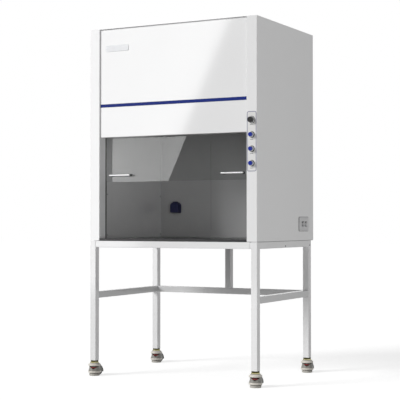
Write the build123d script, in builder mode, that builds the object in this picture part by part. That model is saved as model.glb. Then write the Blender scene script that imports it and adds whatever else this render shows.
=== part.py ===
from build123d import *
from math import cos, radians, sin
import os

os.makedirs("parts", exist_ok=True)

# A ducted fume hood on a four-legged stand with levelling casters.
# Millimetres. +Z is up, the front faces -Y, and the floor is Z = 0.
# X = 0 and Y = 0 are the middle of the whole hood, from its control knob to
# the fenders of its rear casters.

# Driving sizes of the whole
width = 1140.0
depth = 832.0
stand_height = 831.0
cabinet_height = 1301.0
base_reveal = 2.0
control_proud = 26.0

# Sheet steel and frame tube
sheet = 1.2
bend = 2.6
tube = 40.0
tube_wall = 2.0
tube_corner = 3.0

# Cabinet front
stile_width = 67.0
jamb_depth = 70.0
jamb_lip = 18.0
panel_clear = 11.0
panel_recess = 10.0
panel_rear_gap = 10.0
panel_lip = 20.0
panel_gap = 1.5
rear_flange = 20.0
stripe_rise = 185.0
stripe_height = 20.0
stripe_thickness = 0.8
badge_width = 165.0
badge_height = 38.0
badge_thickness = 3.0
badge_corner = 12.0
badge_bevel = 1.0
badge_inset = 38.0
badge_drop = 122.0

# Working chamber
worktop_thickness = 14.5
worktop_edge = 1.2
rebate_depth = 2.0
rebate_gap = 0.4
liner = 5.0
ceiling_rise = 94.0
ceiling_thickness = 3.0
bulkhead_gap = 8.0
baffle_gap = 73.6
baffle_slot = 32.0
baffle_thickness = 5.0
standoff_radius = 6.0
standoff_inset = 90.0

# Sash
glass = 5.0
glass_lap = 33.0
glass_closed_gap = 3.5
sash_opening = 348.5
glass_overlap = 12.0
glass_play = 0.5
strip = 3.0
strip_width = 18.0
strip_foot = 20.0
strip_foot_thickness = 3.0
strip_foot_gap = 0.5
sash_up = 215.0
rail_cheek = 3.0
rail_grip = 18.0
rail_bar = 12.0
rail_clear = 3.0
tab_drop = 34.0
tab_height = 14.0
stop_height = 15.0
stop_gap = 0.3
handle_length = 145.0
handle_radius = 6.0
handle_bevel = 1.0
handle_standoff = 28.5
handle_rise = 40.0
handle_inset = 44.0
handle_post_radius = 4.0
handle_post_inset = 9.0
handle_stud_radius = 3.0
handle_nut_radius = 7.0
handle_nut = 5.0
handle_washer_radius = 7.0
handle_washer = 3.0
stud_clearance = 0.5

# Sash suspension
cable_radius = 1.5
cable_clearance = 0.3
cable_inset = 34.0
anchor_radius = 5.0
anchor_height = 12.0
eye_radius = 2.5
pulley_radius = 41.0
groove_radius = 36.0
pulley_thickness = 14.0
pulley_land = 1.0
pulley_web = 7.0
pulley_headroom = 18.0
pin_clearance = 0.05
pulley_pin_radius = 5.0
pulley_boss_radius = 9.0
bracket_plate = 4.0
bracket_size = 60.0
bracket_corner = 4.0
pin_shoulder_gap = 0.3
pin_head = 2.4
weight_x = 30.0
weight_y = 60.0
weight_height = 350.0
weight_bevel = 3.0
weight_headroom = 6.0

# Exhaust
collar_rear = 334.0
collar_radius = 125.0
collar_wall = 2.0
collar_height = 66.0
collar_flange = 20.0
collar_flange_thickness = 2.0
collar_screw_count = 6

# Blower
impeller_radius = 110.0
impeller_width = 100.0
impeller_plate = 3.0
blade_count = 24
blade_thickness = 1.6
blade_inner_radius = 86.0
blade_sweep = radians(9)
hub_radius = 22.0
hub_length = 40.0
shaft_radius = 8.0
shaft_insertion = 55.0
scroll_wall = 2.0
scroll_gap = 15.0
scroll_first_radius = 135.0
scroll_step = 22.0
scroll_outlet = 150.0
scroll_foot = 20.0
scroll_neck = 20.0
inlet_radius = 84.0
inlet_ring = 6.0
motor_radius = 65.0
motor_length = 110.0
motor_flange_radius = 78.0
motor_flange = 6.0
motor_fin_count = 16
motor_fin = 4.0
motor_edge = 1.0

# Lamp
lamp_end_gap = 53.0
lamp_width = 70.0
lamp_height = 24.0
lamp_wall = 1.5
lamp_lens = 12.0
lamp_depth = 190.0
lens_play = 0.5

# Controls on the right stile
overlay_margin = 2.5
overlay_height = 348.0
overlay_thickness = 0.8
overlay_corner = 12.0
overlay_rise = 390.5
knob_rise = 298.0
button_rises = (213.0, 131.0, 48.0)
button_hole_radius = 11.2
bezel_neck_radius = 11.0
bezel_radius = 16.0
bezel_height = 13.0
bezel_floor = 3.0
bezel_neck = 14.0
bezel_edge = 1.3
cap_radius = 12.5
cap_gap = 0.3
cap_edge = 1.6
cap_proud = 25.0
button_travel = 3.5
plunger_radius = 4.0
knob_radius = 19.0
knob_skirt = 5.0
knob_grip_radius = 16.0
knob_gap = 0.5
knob_flutes = 14
flute_radius = 1.7
knob_draft = 20.0
knob_shaft_radius = 3.0
knob_hole_radius = 4.0
switch_size = 30.0
switch_length = 24.0
switch_corner = 3.0

# Wall socket inside the chamber
socket_inset = 121.0
socket_rise = 195.5
socket_width = 68.0
socket_height = 71.0
socket_base = 20.0
socket_cover = 20.0
socket_gap = 0.3
socket_crown = 14.0
socket_chin = 6.0
cover_draft = 12.0
cover_edge = 4.0
hinge_rise = 1.2
knuckle_radius = 4.5
hinge_pin_radius = 1.5
knuckle_length = 20.0
ear_length = 8.0

# Twin socket on the right side
twin_width = 146.0
twin_height = 86.0
twin_proud = 5.0
twin_corner = 10.0
twin_bevel = 1.7
twin_rear = 85.0
twin_rise = 88.0
outlet_width = 34.0
outlet_height = 36.0
outlet_recess = 3.0
outlet_corner = 3.0
outlet_spacing = 46.0

# Levelling casters
stand_overhang = 38.0
plate_radius = 24.0
plate_thickness = 10.0
king_radius = 6.0
king_head_radius = 9.0
king_head = 3.0
king_length = 18.0
king_clearance = 0.08
plate_bevel = 1.2
swivel_gap = 0.3
dome_radius = 26.0
dome_rise = 21.4
dome_depth = 13.0
dome_round = 16.0
rim_radius = 38.0
rim_height = 4.0
waist_radius = 32.5
waist_height = 3.0
flare_radius = 40.0
flare_rise = 9.0
flare_height = 4.0
flare_round = 34.0
lip_inset = 2.0
lip_depth = 5.0
foot_radius = 33.0
foot_height = 15.0
foot_toe = (2.0, 3.0)
foot_crown = (3.0, 4.0)
pocket_gap = 1.5
foot_lift = 6.0
stem_radius = 6.0
stem_clearance = 0.08
stem_gap = 0.3
thumb_radius = 29.0
thumb_height = 10.0
thumb_rise = 37.0
thumb_notches = 16
notch_radius = 2.0
thumb_gap = 0.6
slot_dip = 6.5
wheel_radius = 20.0
wheel_width = 18.0
wheel_edge = 2.2
wheel_gap = 0.6
wheel_lift = 2.0
wheel_offset = 54.0
axle_radius = 3.0
fender_thickness = 4.0

# Small fittings
screw_radius = 4.0
screw_head = 1.6
screw_slope = 30.0
liner_screw_inset = 10.0
liner_screw_rises = (20.0, 273.0)
rear_screw_count = 5
bolt_radius = 6.0
bolt_head = 2.5
bolt_drop = 10.0
rail_reveal = 7.5
plug_clearance = 0.2
plug_length = 27.5
leg_end_plate = 6.0
stretcher_drop = 314.0
gland_side = 120.0
gland_inset = 60.0
gland_radius = 12.0
gland_height = 30.0
gland_bore = 6.0
gland_hex_radius = 18.0
gland_hex_height = 6.0
gland_draft = 8.0
gland_tail = 15.0
gland_clearance = 0.6

# Places worked out from the driving sizes
half = width / 2
fender_radius = wheel_radius + 2 * wheel_gap + fender_thickness
rear_reach = wheel_offset + fender_radius - stand_overhang - tube / 2
front = -(depth + rear_reach - control_proud) / 2
rear = front + depth
rear_inner = rear - 2 * sheet
opening = half - stile_width
leg_x = half - tube / 2
leg_front_y = front + tube / 2
leg_rear_y = rear - stand_overhang - tube / 2
leg_places = [(x, y) for x in (-leg_x, leg_x) for y in (leg_front_y, leg_rear_y)]

slot_front = front + jamb_depth
glass_front = slot_front + strip + glass_play
glass_mid = glass_front + glass / 2
glass_rear = glass_front + glass
liner_front = glass_rear + glass_play + strip
glass_half = opening + glass_overlap
panel_y = front + panel_recess
panel_return = slot_front - panel_rear_gap - panel_y
baffle_y = rear_inner - baffle_gap
collar_y = rear - collar_rear

thumb_z = foot_height + thumb_rise
flare_z = foot_height + flare_rise
dome_top = thumb_z + thumb_height + swivel_gap + dome_rise
caster_height = dome_top + swivel_gap + plate_thickness

cabinet_bottom = stand_height + base_reveal
cabinet_top = cabinet_bottom + cabinet_height
worktop_top = stand_height + worktop_thickness
seat_z = worktop_top - rebate_depth
glass_rest = worktop_top + sash_opening
sash_down = sash_opening - glass_closed_gap
panel_bottom = glass_rest + handle_rise + handle_radius + sash_up + panel_clear
glass_height = panel_bottom + glass_lap - worktop_top - glass_closed_gap
glass_top = glass_rest + glass_height
ceiling_z = panel_bottom + ceiling_rise


def write(piece, name):
    """Label a finished piece and write it as its own STEP file."""
    piece.part.label = name
    export_step(piece.part, f"parts/{name}.step")


# Stand: legs, top rails, lower rails
with BuildPart() as stand_legs:
    with BuildSketch(Plane.XY.offset(caster_height)):
        with Locations(*leg_places):
            RectangleRounded(tube, tube, tube_corner)
    extrude(amount=stand_height - caster_height)
    with BuildSketch(Plane.XY.offset(caster_height + leg_end_plate)):
        with Locations(*leg_places):
            Rectangle(tube - 2 * tube_wall, tube - 2 * tube_wall)
    extrude(amount=stand_height - caster_height - leg_end_plate, mode=Mode.SUBTRACT)
    with Locations(*[(x, y, caster_height) for x, y in leg_places]):
        Cylinder(
            king_radius + king_clearance,
            leg_end_plate,
            align=(Align.CENTER, Align.CENTER, Align.MIN),
            mode=Mode.SUBTRACT,
        )
write(stand_legs, "stand_legs")

rail_z = stand_height - tube / 2
rail_half = half - tube - rail_reveal
side_length = leg_rear_y - leg_front_y - tube
side_start = leg_front_y + tube / 2
bore_size = tube - 2 * tube_wall
plug_size = bore_size - 2 * plug_clearance
with BuildPart() as stand_top_rails:
    # front rail, held off the legs by recessed plugs
    with BuildSketch(Plane.YZ.offset(-rail_half)):
        with Locations((leg_front_y, rail_z)):
            RectangleRounded(tube, tube, tube_corner)
            Rectangle(bore_size, bore_size, mode=Mode.SUBTRACT)
    extrude(amount=2 * rail_half)
    # rear rail, butted on the legs
    with BuildSketch(Plane.YZ.offset(-half + tube)):
        with Locations((leg_rear_y, rail_z)):
            RectangleRounded(tube, tube, tube_corner)
            Rectangle(bore_size, bore_size, mode=Mode.SUBTRACT)
    extrude(amount=2 * (half - tube))
    # side rails
    with BuildSketch(Plane.XZ.offset(-side_start)):
        with Locations((-leg_x, rail_z), (leg_x, rail_z)):
            RectangleRounded(tube, tube, tube_corner)
            Rectangle(bore_size, bore_size, mode=Mode.SUBTRACT)
    extrude(amount=-side_length)
    # plugs that join the front rail to the legs
    for side in (-1, 1):
        with Locations((side * (half - tube), leg_front_y, rail_z)):
            Box(
                plug_length,
                plug_size,
                plug_size,
                align=(Align.MIN if side < 0 else Align.MAX, Align.CENTER, Align.CENTER),
            )
write(stand_top_rails, "stand_top_rails")

stretcher_top = stand_height - stretcher_drop
stretcher_z = stretcher_top - tube / 2
with BuildPart() as stand_lower_rails:
    with BuildSketch(Plane.XZ.offset(-side_start)):
        with Locations((-leg_x, stretcher_z), (leg_x, stretcher_z)):
            RectangleRounded(tube, tube, tube_corner)
            Rectangle(bore_size, bore_size, mode=Mode.SUBTRACT)
    extrude(amount=-side_length)
    with BuildSketch(Plane.YZ.offset(-half + tube)):
        with Locations((leg_rear_y, stretcher_z)):
            RectangleRounded(tube, tube, tube_corner)
            Rectangle(bore_size, bore_size, mode=Mode.SUBTRACT)
    extrude(amount=2 * (half - tube))
    # centre post from the rear stretcher to the rear rail
    with BuildSketch(Plane.XY.offset(stretcher_top)):
        with Locations((0, leg_rear_y)):
            RectangleRounded(tube, tube, tube_corner)
            Rectangle(bore_size, bore_size, mode=Mode.SUBTRACT)
    extrude(amount=stand_height - tube - stretcher_top)
write(stand_lower_rails, "stand_lower_rails")

# Side columns: each is one folded sheet, from rear flange round the side,
# the stile and the jamb to the lip that carries the front sash guide
mid = sheet / 2
column_path = [
    (half - rear_flange, rear - mid),
    (half - mid, rear - mid),
    (half - mid, front + mid),
    (opening + mid, front + mid),
    (opening + mid, slot_front - mid),
    (opening + jamb_lip, slot_front - mid),
]
with BuildPart() as column_plain:
    with BuildSketch(Plane.XY.offset(cabinet_bottom)):
        with BuildLine():
            FilletPolyline(*column_path, radius=bend)
        trace(line_width=sheet)
    extrude(amount=cabinet_height - sheet)

control_x = opening + stile_width / 2
overlay_bottom = worktop_top + overlay_rise
knob_z = overlay_bottom + knob_rise
button_zs = [overlay_bottom + rise for rise in button_rises]
with BuildPart() as column_right:
    add(column_plain.part)
    for z in (knob_z, *button_zs):
        with Locations(Plane((control_x, front, z), z_dir=(0, -1, 0))):
            Cylinder(button_hole_radius, 4 * sheet, mode=Mode.SUBTRACT)
write(column_right, "column_right")

with BuildPart() as column_left:
    mirror(column_plain.part, about=Plane.YZ)
write(column_left, "column_left")

# Upper front panel with a deep lower return
panel_half = opening - panel_gap
panel_top = cabinet_top - sheet
panel_path = [
    (panel_y + rear_flange, panel_top - mid),
    (panel_y + mid, panel_top - mid),
    (panel_y + mid, panel_bottom + mid),
    (panel_y + panel_return, panel_bottom + mid),
    (panel_y + panel_return, panel_bottom + panel_lip),
]
with BuildPart() as front_panel:
    with BuildSketch(Plane.YZ.offset(-panel_half)):
        with BuildLine():
            FilletPolyline(*panel_path, radius=bend)
        trace(line_width=sheet)
    extrude(amount=2 * panel_half)
write(front_panel, "front_panel")

stripe_bottom = panel_bottom + stripe_rise
with BuildPart() as front_stripe:
    with BuildSketch(Plane.XZ.offset(-panel_y)):
        with Locations((0, stripe_bottom + stripe_height / 2)):
            Rectangle(2 * panel_half, stripe_height)
    extrude(amount=stripe_thickness)
write(front_stripe, "front_stripe")

badge_x = -panel_half + badge_inset + badge_width / 2
badge_z = cabinet_top - badge_drop
with BuildPart() as badge_plate:
    with BuildSketch(Plane.XZ.offset(-panel_y)):
        with Locations((badge_x, badge_z)):
            RectangleRounded(badge_width, badge_height, badge_corner)
    extrude(amount=badge_thickness)
    chamfer(badge_plate.faces().sort_by(Axis.Y)[0].edges(), badge_bevel)
write(badge_plate, "badge_plate")

# Top and rear sheets
collar_bore = collar_radius - collar_wall
gland_x = gland_side - half
gland_y = rear - gland_inset
with BuildPart() as top_panel:
    with BuildSketch(Plane.XY.offset(cabinet_top - sheet)):
        with Locations((0, (front + rear) / 2)):
            RectangleRounded(width, depth, bend + mid)
        with Locations((0, collar_y)):
            Circle(collar_bore, mode=Mode.SUBTRACT)
        with Locations((gland_x, gland_y)):
            Circle(gland_radius, mode=Mode.SUBTRACT)
    extrude(amount=sheet)
write(top_panel, "top_panel")

with BuildPart() as rear_panel:
    with BuildSketch(Plane.XZ.offset(-rear_inner)):
        with Locations((0, (cabinet_bottom + cabinet_top - sheet) / 2)):
            Rectangle(2 * (half - sheet - bend), cabinet_height - sheet)
    extrude(amount=-sheet)
write(rear_panel, "rear_panel")

# Worktop: a thick board with a tongue between the stiles, and a rebate along
# its sides and back in which the linings stand
face_half = opening - rebate_gap
face_rear = baffle_y - rebate_gap
with BuildPart() as worktop:
    with BuildSketch(Plane.XY.offset(stand_height)):
        with Locations((0, (slot_front + rear_inner) / 2)):
            Rectangle(2 * (half - sheet), rear_inner - slot_front)
        with Locations((0, (front + slot_front) / 2)):
            Rectangle(2 * opening, slot_front - front)
    extrude(amount=seat_z - stand_height)
    fillet(worktop.edges().filter_by(Axis.Z).group_by(Axis.Y)[-1], bend)
    with BuildSketch(Plane.XY.offset(seat_z)):
        with Locations((0, (front + face_rear) / 2)):
            Rectangle(2 * face_half, face_rear - front)
    extrude(amount=rebate_depth)
    chamfer(
        worktop.faces().sort_by(Axis.Z)[-1].edges().sort_by(Axis.Y)[0],
        worktop_edge,
    )
write(worktop, "worktop")

# Chamber linings
with BuildPart() as side_liners:
    with BuildSketch(Plane.XY.offset(seat_z)):
        for side in (-1, 1):
            with Locations((side * (opening + liner / 2), (liner_front + rear_inner) / 2)):
                Rectangle(liner, rear_inner - liner_front)
    extrude(amount=ceiling_z - seat_z)
write(side_liners, "side_liners")

bulkhead_y = liner_front + bulkhead_gap
with BuildPart() as ceiling_panel:
    with BuildSketch(Plane.XY.offset(ceiling_z)):
        with Locations((0, (bulkhead_y + baffle_y + baffle_thickness) / 2)):
            Rectangle(2 * (opening + liner), baffle_y + baffle_thickness - bulkhead_y)
    extrude(amount=ceiling_thickness)
write(ceiling_panel, "ceiling_panel")

baffle_top = ceiling_z - baffle_slot
with BuildPart() as baffle:
    with BuildSketch(Plane.XZ.offset(-baffle_y)):
        with Locations((0, (seat_z + baffle_top) / 2)):
            Rectangle(2 * opening, baffle_top - seat_z)
    extrude(amount=-baffle_thickness)
    # standoffs from the rear sheet
    standoff_y = baffle_y + baffle_thickness
    for x in (-opening + standoff_inset, opening - standoff_inset):
        for z in (worktop_top + standoff_inset, baffle_top - standoff_inset):
            with Locations(Plane((x, standoff_y, z), z_dir=(0, 1, 0))):
                Cylinder(
                    standoff_radius,
                    rear_inner - standoff_y,
                    align=(Align.CENTER, Align.CENTER, Align.MIN),
                )
write(baffle, "baffle")

# Lamp under the ceiling, a folded tray with a domed lens
lamp_y = front + lamp_depth
lamp_length = 2 * (opening - lamp_end_gap)
with BuildPart() as lamp_housing:
    with BuildSketch(Plane.YZ.offset(-lamp_length / 2)):
        with Locations((lamp_y, ceiling_z - lamp_height / 2)):
            Rectangle(lamp_width, lamp_height)
    extrude(amount=lamp_length)
    fillet(lamp_housing.edges().filter_by(Axis.Z), lamp_wall)
    with BuildSketch(Plane.XY.offset(ceiling_z - lamp_height)):
        with Locations((0, lamp_y)):
            Rectangle(lamp_length - 2 * lamp_wall, lamp_width - 2 * lamp_wall)
    extrude(amount=lamp_height - lamp_wall, mode=Mode.SUBTRACT)
write(lamp_housing, "lamp_housing")

lens_half = lamp_width / 2 - lamp_wall - lens_play
lens_top = ceiling_z - lamp_height
with BuildPart() as lamp_diffuser:
    with BuildSketch(Plane.YZ.offset(-lamp_length / 2 + lamp_wall + lens_play)):
        with BuildLine():
            arc = ThreePointArc(
                (lamp_y - lens_half, lens_top),
                (lamp_y, lens_top - lamp_lens),
                (lamp_y + lens_half, lens_top),
            )
            Polyline(
                arc @ 1,
                (lamp_y + lens_half, ceiling_z - lamp_wall),
                (lamp_y - lens_half, ceiling_z - lamp_wall),
                arc @ 0,
            )
        make_face()
    extrude(amount=lamp_length - 2 * lamp_wall - 2 * lens_play)
write(lamp_diffuser, "lamp_diffuser")

# Walls round the blower, one sheet bent to a U and open at the back
wall_x = opening + liner - mid
enclosure_bottom = ceiling_z + ceiling_thickness
with BuildPart() as blower_enclosure:
    with BuildSketch(Plane.XY.offset(enclosure_bottom)):
        with BuildLine():
            FilletPolyline(
                (-wall_x, rear_inner),
                (-wall_x, bulkhead_y + mid),
                (wall_x, bulkhead_y + mid),
                (wall_x, rear_inner),
                radius=bend,
            )
        trace(line_width=sheet)
    extrude(amount=panel_top - enclosure_bottom)
write(blower_enclosure, "blower_enclosure")

# Blower: the scroll is three quarter arcs whose centres step round a square
scroll_width = impeller_width + 2 * scroll_gap
scroll_centres = [
    (scroll_step / 2, -scroll_step / 2),
    (-scroll_step / 2, -scroll_step / 2),
    (-scroll_step / 2, scroll_step / 2),
]
scroll_radii = [scroll_first_radius + n * scroll_step for n in range(len(scroll_centres))]
scroll_left = scroll_centres[2][0] - scroll_radii[2]
scroll_right = scroll_left + scroll_outlet
scroll_low = scroll_centres[1][1] - scroll_radii[1]
fan_x = -(scroll_left + scroll_right) / 2
fan_z = enclosure_bottom + scroll_foot + scroll_wall - scroll_low
tongue_z = scroll_centres[0][1] + scroll_radii[0]
outlet_z = tongue_z + scroll_neck
scroll_front = collar_y - scroll_width / 2
fan_plane = Plane((fan_x, scroll_front, fan_z), x_dir=(1, 0, 0), z_dir=(0, -1, 0))
fan_back = fan_plane.offset(-scroll_width)


def scroll_outline(top, wall=0.0):
    """The outline of the scroll, open into its outlet, grown by a wall."""
    with BuildSketch() as outline:
        with BuildLine():
            first = CenterArc(scroll_centres[0], scroll_radii[0] + wall, 90, -90)
            CenterArc(scroll_centres[1], scroll_radii[1] + wall, 0, -90)
            third = CenterArc(scroll_centres[2], scroll_radii[2] + wall, -90, -90)
            Polyline(
                third @ 1,
                (scroll_left - wall, top),
                (scroll_right + wall, top),
                (scroll_right + wall, tongue_z + wall),
                first @ 0,
            )
        make_face()
    return outline.sketch


shell_outline = scroll_outline(outlet_z, scroll_wall)
air_outline = scroll_outline(outlet_z + scroll_wall)
foot_span = scroll_radii[0] - scroll_foot
foot_low = scroll_low - scroll_wall - scroll_foot
with BuildPart() as blower_scroll:
    with BuildSketch(fan_plane.offset(scroll_wall)):
        add(shell_outline)
    extrude(amount=-(scroll_width + 2 * scroll_wall))
    with BuildSketch(fan_plane):
        add(air_outline)
    extrude(amount=-scroll_width, mode=Mode.SUBTRACT)
    # the inlet at the back, with its rolled ring, and the shaft hole
    with BuildSketch(fan_back):
        Circle(inlet_radius)
    extrude(amount=-scroll_wall, mode=Mode.SUBTRACT)
    with BuildSketch(fan_back.offset(-scroll_wall)):
        Circle(inlet_radius + inlet_ring)
        Circle(inlet_radius, mode=Mode.SUBTRACT)
    extrude(amount=-inlet_ring)
    with BuildSketch(fan_plane):
        Circle(hub_radius)
    extrude(amount=scroll_wall, mode=Mode.SUBTRACT)
    # feet: a bent leg under each end of the front and back walls
    for plane, outward in ((fan_plane.offset(scroll_wall), 1), (fan_back, -1)):
        with BuildSketch(plane):
            for x in (-foot_span, foot_span):
                with Locations((x, foot_low)):
                    Rectangle(
                        2 * scroll_foot,
                        scroll_radii[0],
                        align=(Align.CENTER, Align.MIN),
                    )
        extrude(amount=-scroll_wall)
        with BuildSketch(plane):
            for x in (-foot_span, foot_span):
                with Locations((x, foot_low)):
                    Rectangle(
                        2 * scroll_foot,
                        scroll_wall,
                        align=(Align.CENTER, Align.MIN),
                    )
        extrude(amount=outward * scroll_foot)
write(blower_scroll, "blower_scroll")

# Motor on the front wall of the scroll
motor_plane = fan_plane.offset(scroll_wall)
motor_bore = shaft_radius + pin_clearance
with BuildPart() as blower_motor:
    with BuildSketch(motor_plane):
        Circle(motor_flange_radius)
    extrude(amount=motor_flange)
    with BuildSketch(motor_plane.offset(motor_flange)):
        Circle(motor_radius)
        with PolarLocations(motor_radius, motor_fin_count):
            Rectangle(2 * motor_fin, motor_fin)
    extrude(amount=motor_length - motor_flange)
    fillet(
        blower_motor.faces().sort_by(Axis.Y)[0].outer_wire().edges(),
        motor_edge,
    )
    with BuildSketch(motor_plane):
        Circle(motor_bore)
    extrude(amount=motor_flange + shaft_insertion, mode=Mode.SUBTRACT)
write(blower_motor, "blower_motor")

# Impeller: forward-curved blades between a back plate and an end ring
wheel_plane = fan_plane.offset(-scroll_gap)
blade_span = impeller_radius - blade_inner_radius
blade_tip = impeller_radius - blade_thickness
with BuildSketch() as blade:
    with BuildLine():
        RadiusArc(
            (blade_inner_radius, 0),
            (blade_tip * cos(blade_sweep), -blade_tip * sin(blade_sweep)),
            blade_span,
        )
    trace(line_width=blade_thickness)

with BuildPart() as impeller:
    with BuildSketch(wheel_plane):
        Circle(impeller_radius)
    extrude(amount=-impeller_plate)
    with BuildSketch(wheel_plane.offset(-impeller_plate)):
        with PolarLocations(0, blade_count):
            add(blade.sketch)
    extrude(amount=-(impeller_width - 2 * impeller_plate))
    with BuildSketch(wheel_plane.offset(-impeller_width + impeller_plate)):
        Circle(impeller_radius)
        Circle(blade_inner_radius, mode=Mode.SUBTRACT)
    extrude(amount=-impeller_plate)
    with BuildSketch(wheel_plane.offset(-impeller_plate)):
        Circle(hub_radius)
    extrude(amount=-hub_length)
    # the shaft runs from the hub into the motor
    with BuildSketch(wheel_plane):
        Circle(shaft_radius)
    extrude(amount=scroll_gap + scroll_wall + shaft_insertion)
write(impeller, "impeller")

# Exhaust collar on the top sheet, and the transition from the scroll's outlet
outlet_low = fan_z + outlet_z
with BuildPart() as exhaust_collar:
    with BuildSketch(Plane.XY.offset(cabinet_top)):
        with Locations((0, collar_y)):
            Circle(collar_radius + collar_flange)
            Circle(collar_bore, mode=Mode.SUBTRACT)
    extrude(amount=collar_flange_thickness)
    with BuildSketch(Plane.XY.offset(cabinet_top)):
        with Locations((0, collar_y)):
            Circle(collar_radius)
            Circle(collar_bore, mode=Mode.SUBTRACT)
    extrude(amount=collar_height)
    for grow, mode in ((collar_wall, Mode.ADD), (0, Mode.SUBTRACT)):
        with BuildSketch(Plane.XY.offset(outlet_low)):
            with Locations((0, collar_y)):
                Rectangle(scroll_outlet + 2 * grow, scroll_width + 2 * grow)
        with BuildSketch(Plane.XY.offset(cabinet_top - sheet)):
            with Locations((0, collar_y)):
                Circle(collar_bore - collar_wall + grow)
        loft(mode=mode)
write(exhaust_collar, "exhaust_collar")

# Sash: a frameless pane with a bar along its top and two bar handles
handle_z = glass_rest + handle_rise
handle_y = glass_front - handle_standoff
handle_x = opening - handle_inset - handle_length / 2
post_offset = handle_length / 2 - handle_post_inset
post_xs = [side * handle_x + end * post_offset for side in (-1, 1) for end in (-1, 1)]
with BuildPart() as sash_glass:
    with BuildSketch(Plane.XZ.offset(-glass_front)):
        with Locations((0, glass_rest + glass_height / 2)):
            Rectangle(2 * glass_half, glass_height)
        with Locations(*[(x, handle_z) for x in post_xs]):
            Circle(handle_stud_radius + stud_clearance, mode=Mode.SUBTRACT)
    extrude(amount=-glass)
write(sash_glass, "sash_glass")

rail_low = glass_top - rail_grip
cable_x = opening + cable_inset
arm_x = glass_half + glass_play
arm_outer = opening + panel_gap + strip_width
tab_low = glass_top - tab_drop
tab_top = tab_low + tab_height
with BuildPart() as sash_top_rail:
    with BuildSketch(Plane.YZ.offset(-opening + rail_clear)):
        with Locations((glass_mid, rail_low)):
            Rectangle(
                glass + 2 * rail_cheek,
                rail_grip + rail_bar,
                align=(Align.CENTER, Align.MIN),
            )
            Rectangle(
                glass,
                rail_grip,
                align=(Align.CENTER, Align.MIN),
                mode=Mode.SUBTRACT,
            )
    extrude(amount=2 * (opening - rail_clear))
    # hooked ends that pass between the guides and carry the cable anchors
    with BuildSketch(Plane.XZ.offset(-glass_mid - glass / 2)):
        with BuildLine():
            Polyline(
                (0, glass_top),
                (arm_x, glass_top),
                (arm_x, tab_low),
                (cable_x + anchor_radius, tab_low),
                (cable_x + anchor_radius, tab_top),
                (arm_outer, tab_top),
                (arm_outer, glass_top + rail_bar),
                (0, glass_top + rail_bar),
            )
            mirror(about=Plane.YZ)
        make_face()
    extrude(amount=glass)
    with Locations(*[(x, glass_mid, tab_top) for x in (-cable_x, cable_x)]):
        Cylinder(
            eye_radius,
            anchor_height,
            align=(Align.CENTER, Align.CENTER, Align.MIN),
        )
write(sash_top_rail, "sash_top_rail")

post_end = glass_front - handle_washer
with BuildPart() as sash_handles:
    for side in (-1, 1):
        with BuildSketch(Plane.YZ.offset(side * handle_x - handle_length / 2)):
            with Locations((handle_y, handle_z)):
                Circle(handle_radius)
        extrude(amount=handle_length)
    chamfer(sash_handles.edges().filter_by(GeomType.CIRCLE), handle_bevel)
    # posts from the bar to the glass, each on a black washer, with a stud and
    # a nut behind the glass
    post_start = (0, handle_y + handle_radius, handle_z)
    post_plane = Plane(post_start, x_dir=(1, 0, 0), z_dir=(0, 1, 0))
    post_places = [(x, 0) for x in post_xs]
    post_length = post_end - handle_y - handle_radius
    steps = (
        (-handle_radius / 2, handle_post_radius, post_length + handle_radius / 2),
        (post_length, handle_washer_radius, handle_washer),
        (post_length + handle_washer, handle_stud_radius, glass),
        (post_length + handle_washer + glass, handle_nut_radius, handle_nut),
    )
    for start, radius, length in steps:
        with BuildSketch(post_plane.offset(start)):
            with Locations(*post_places):
                Circle(radius)
        extrude(amount=length)
write(sash_handles, "sash_handles")

# Sash guides: a flat strip on each jamb lip and an angle strip on each liner,
# with rubber stops in the slot beyond the edge of the glass
guide_low = seat_z + strip_foot_gap
pulley_z = cabinet_top - pulley_headroom - pulley_radius
stop_zs = (
    tab_low - sash_down - stop_gap - stop_height,
    glass_top + rail_bar + sash_up + stop_gap,
)
guide_height = stop_zs[1] + stop_height - guide_low
with BuildPart() as sash_guides:
    for side in (-1, 1):
        inner_x = side * (opening + panel_gap)
        toward = Align.MIN if side > 0 else Align.MAX
        with BuildSketch(Plane.XY.offset(guide_low)):
            with Locations((inner_x, slot_front)):
                Rectangle(strip_width, strip, align=(toward, Align.MIN))
            with Locations((inner_x, liner_front)):
                Rectangle(strip_width, strip, align=(toward, Align.MAX))
            with Locations((side * (opening + liner), liner_front)):
                Rectangle(strip_foot_thickness, strip_foot, align=(toward, Align.MIN))
        extrude(amount=guide_height)
        for z in stop_zs:
            with BuildSketch(Plane.XY.offset(z)):
                with Locations((side * arm_x, slot_front + strip)):
                    Rectangle(
                        arm_outer - arm_x,
                        liner_front - slot_front - 2 * strip,
                        align=(toward, Align.MIN),
                    )
            extrude(amount=stop_height)
write(sash_guides, "sash_guides")

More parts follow.
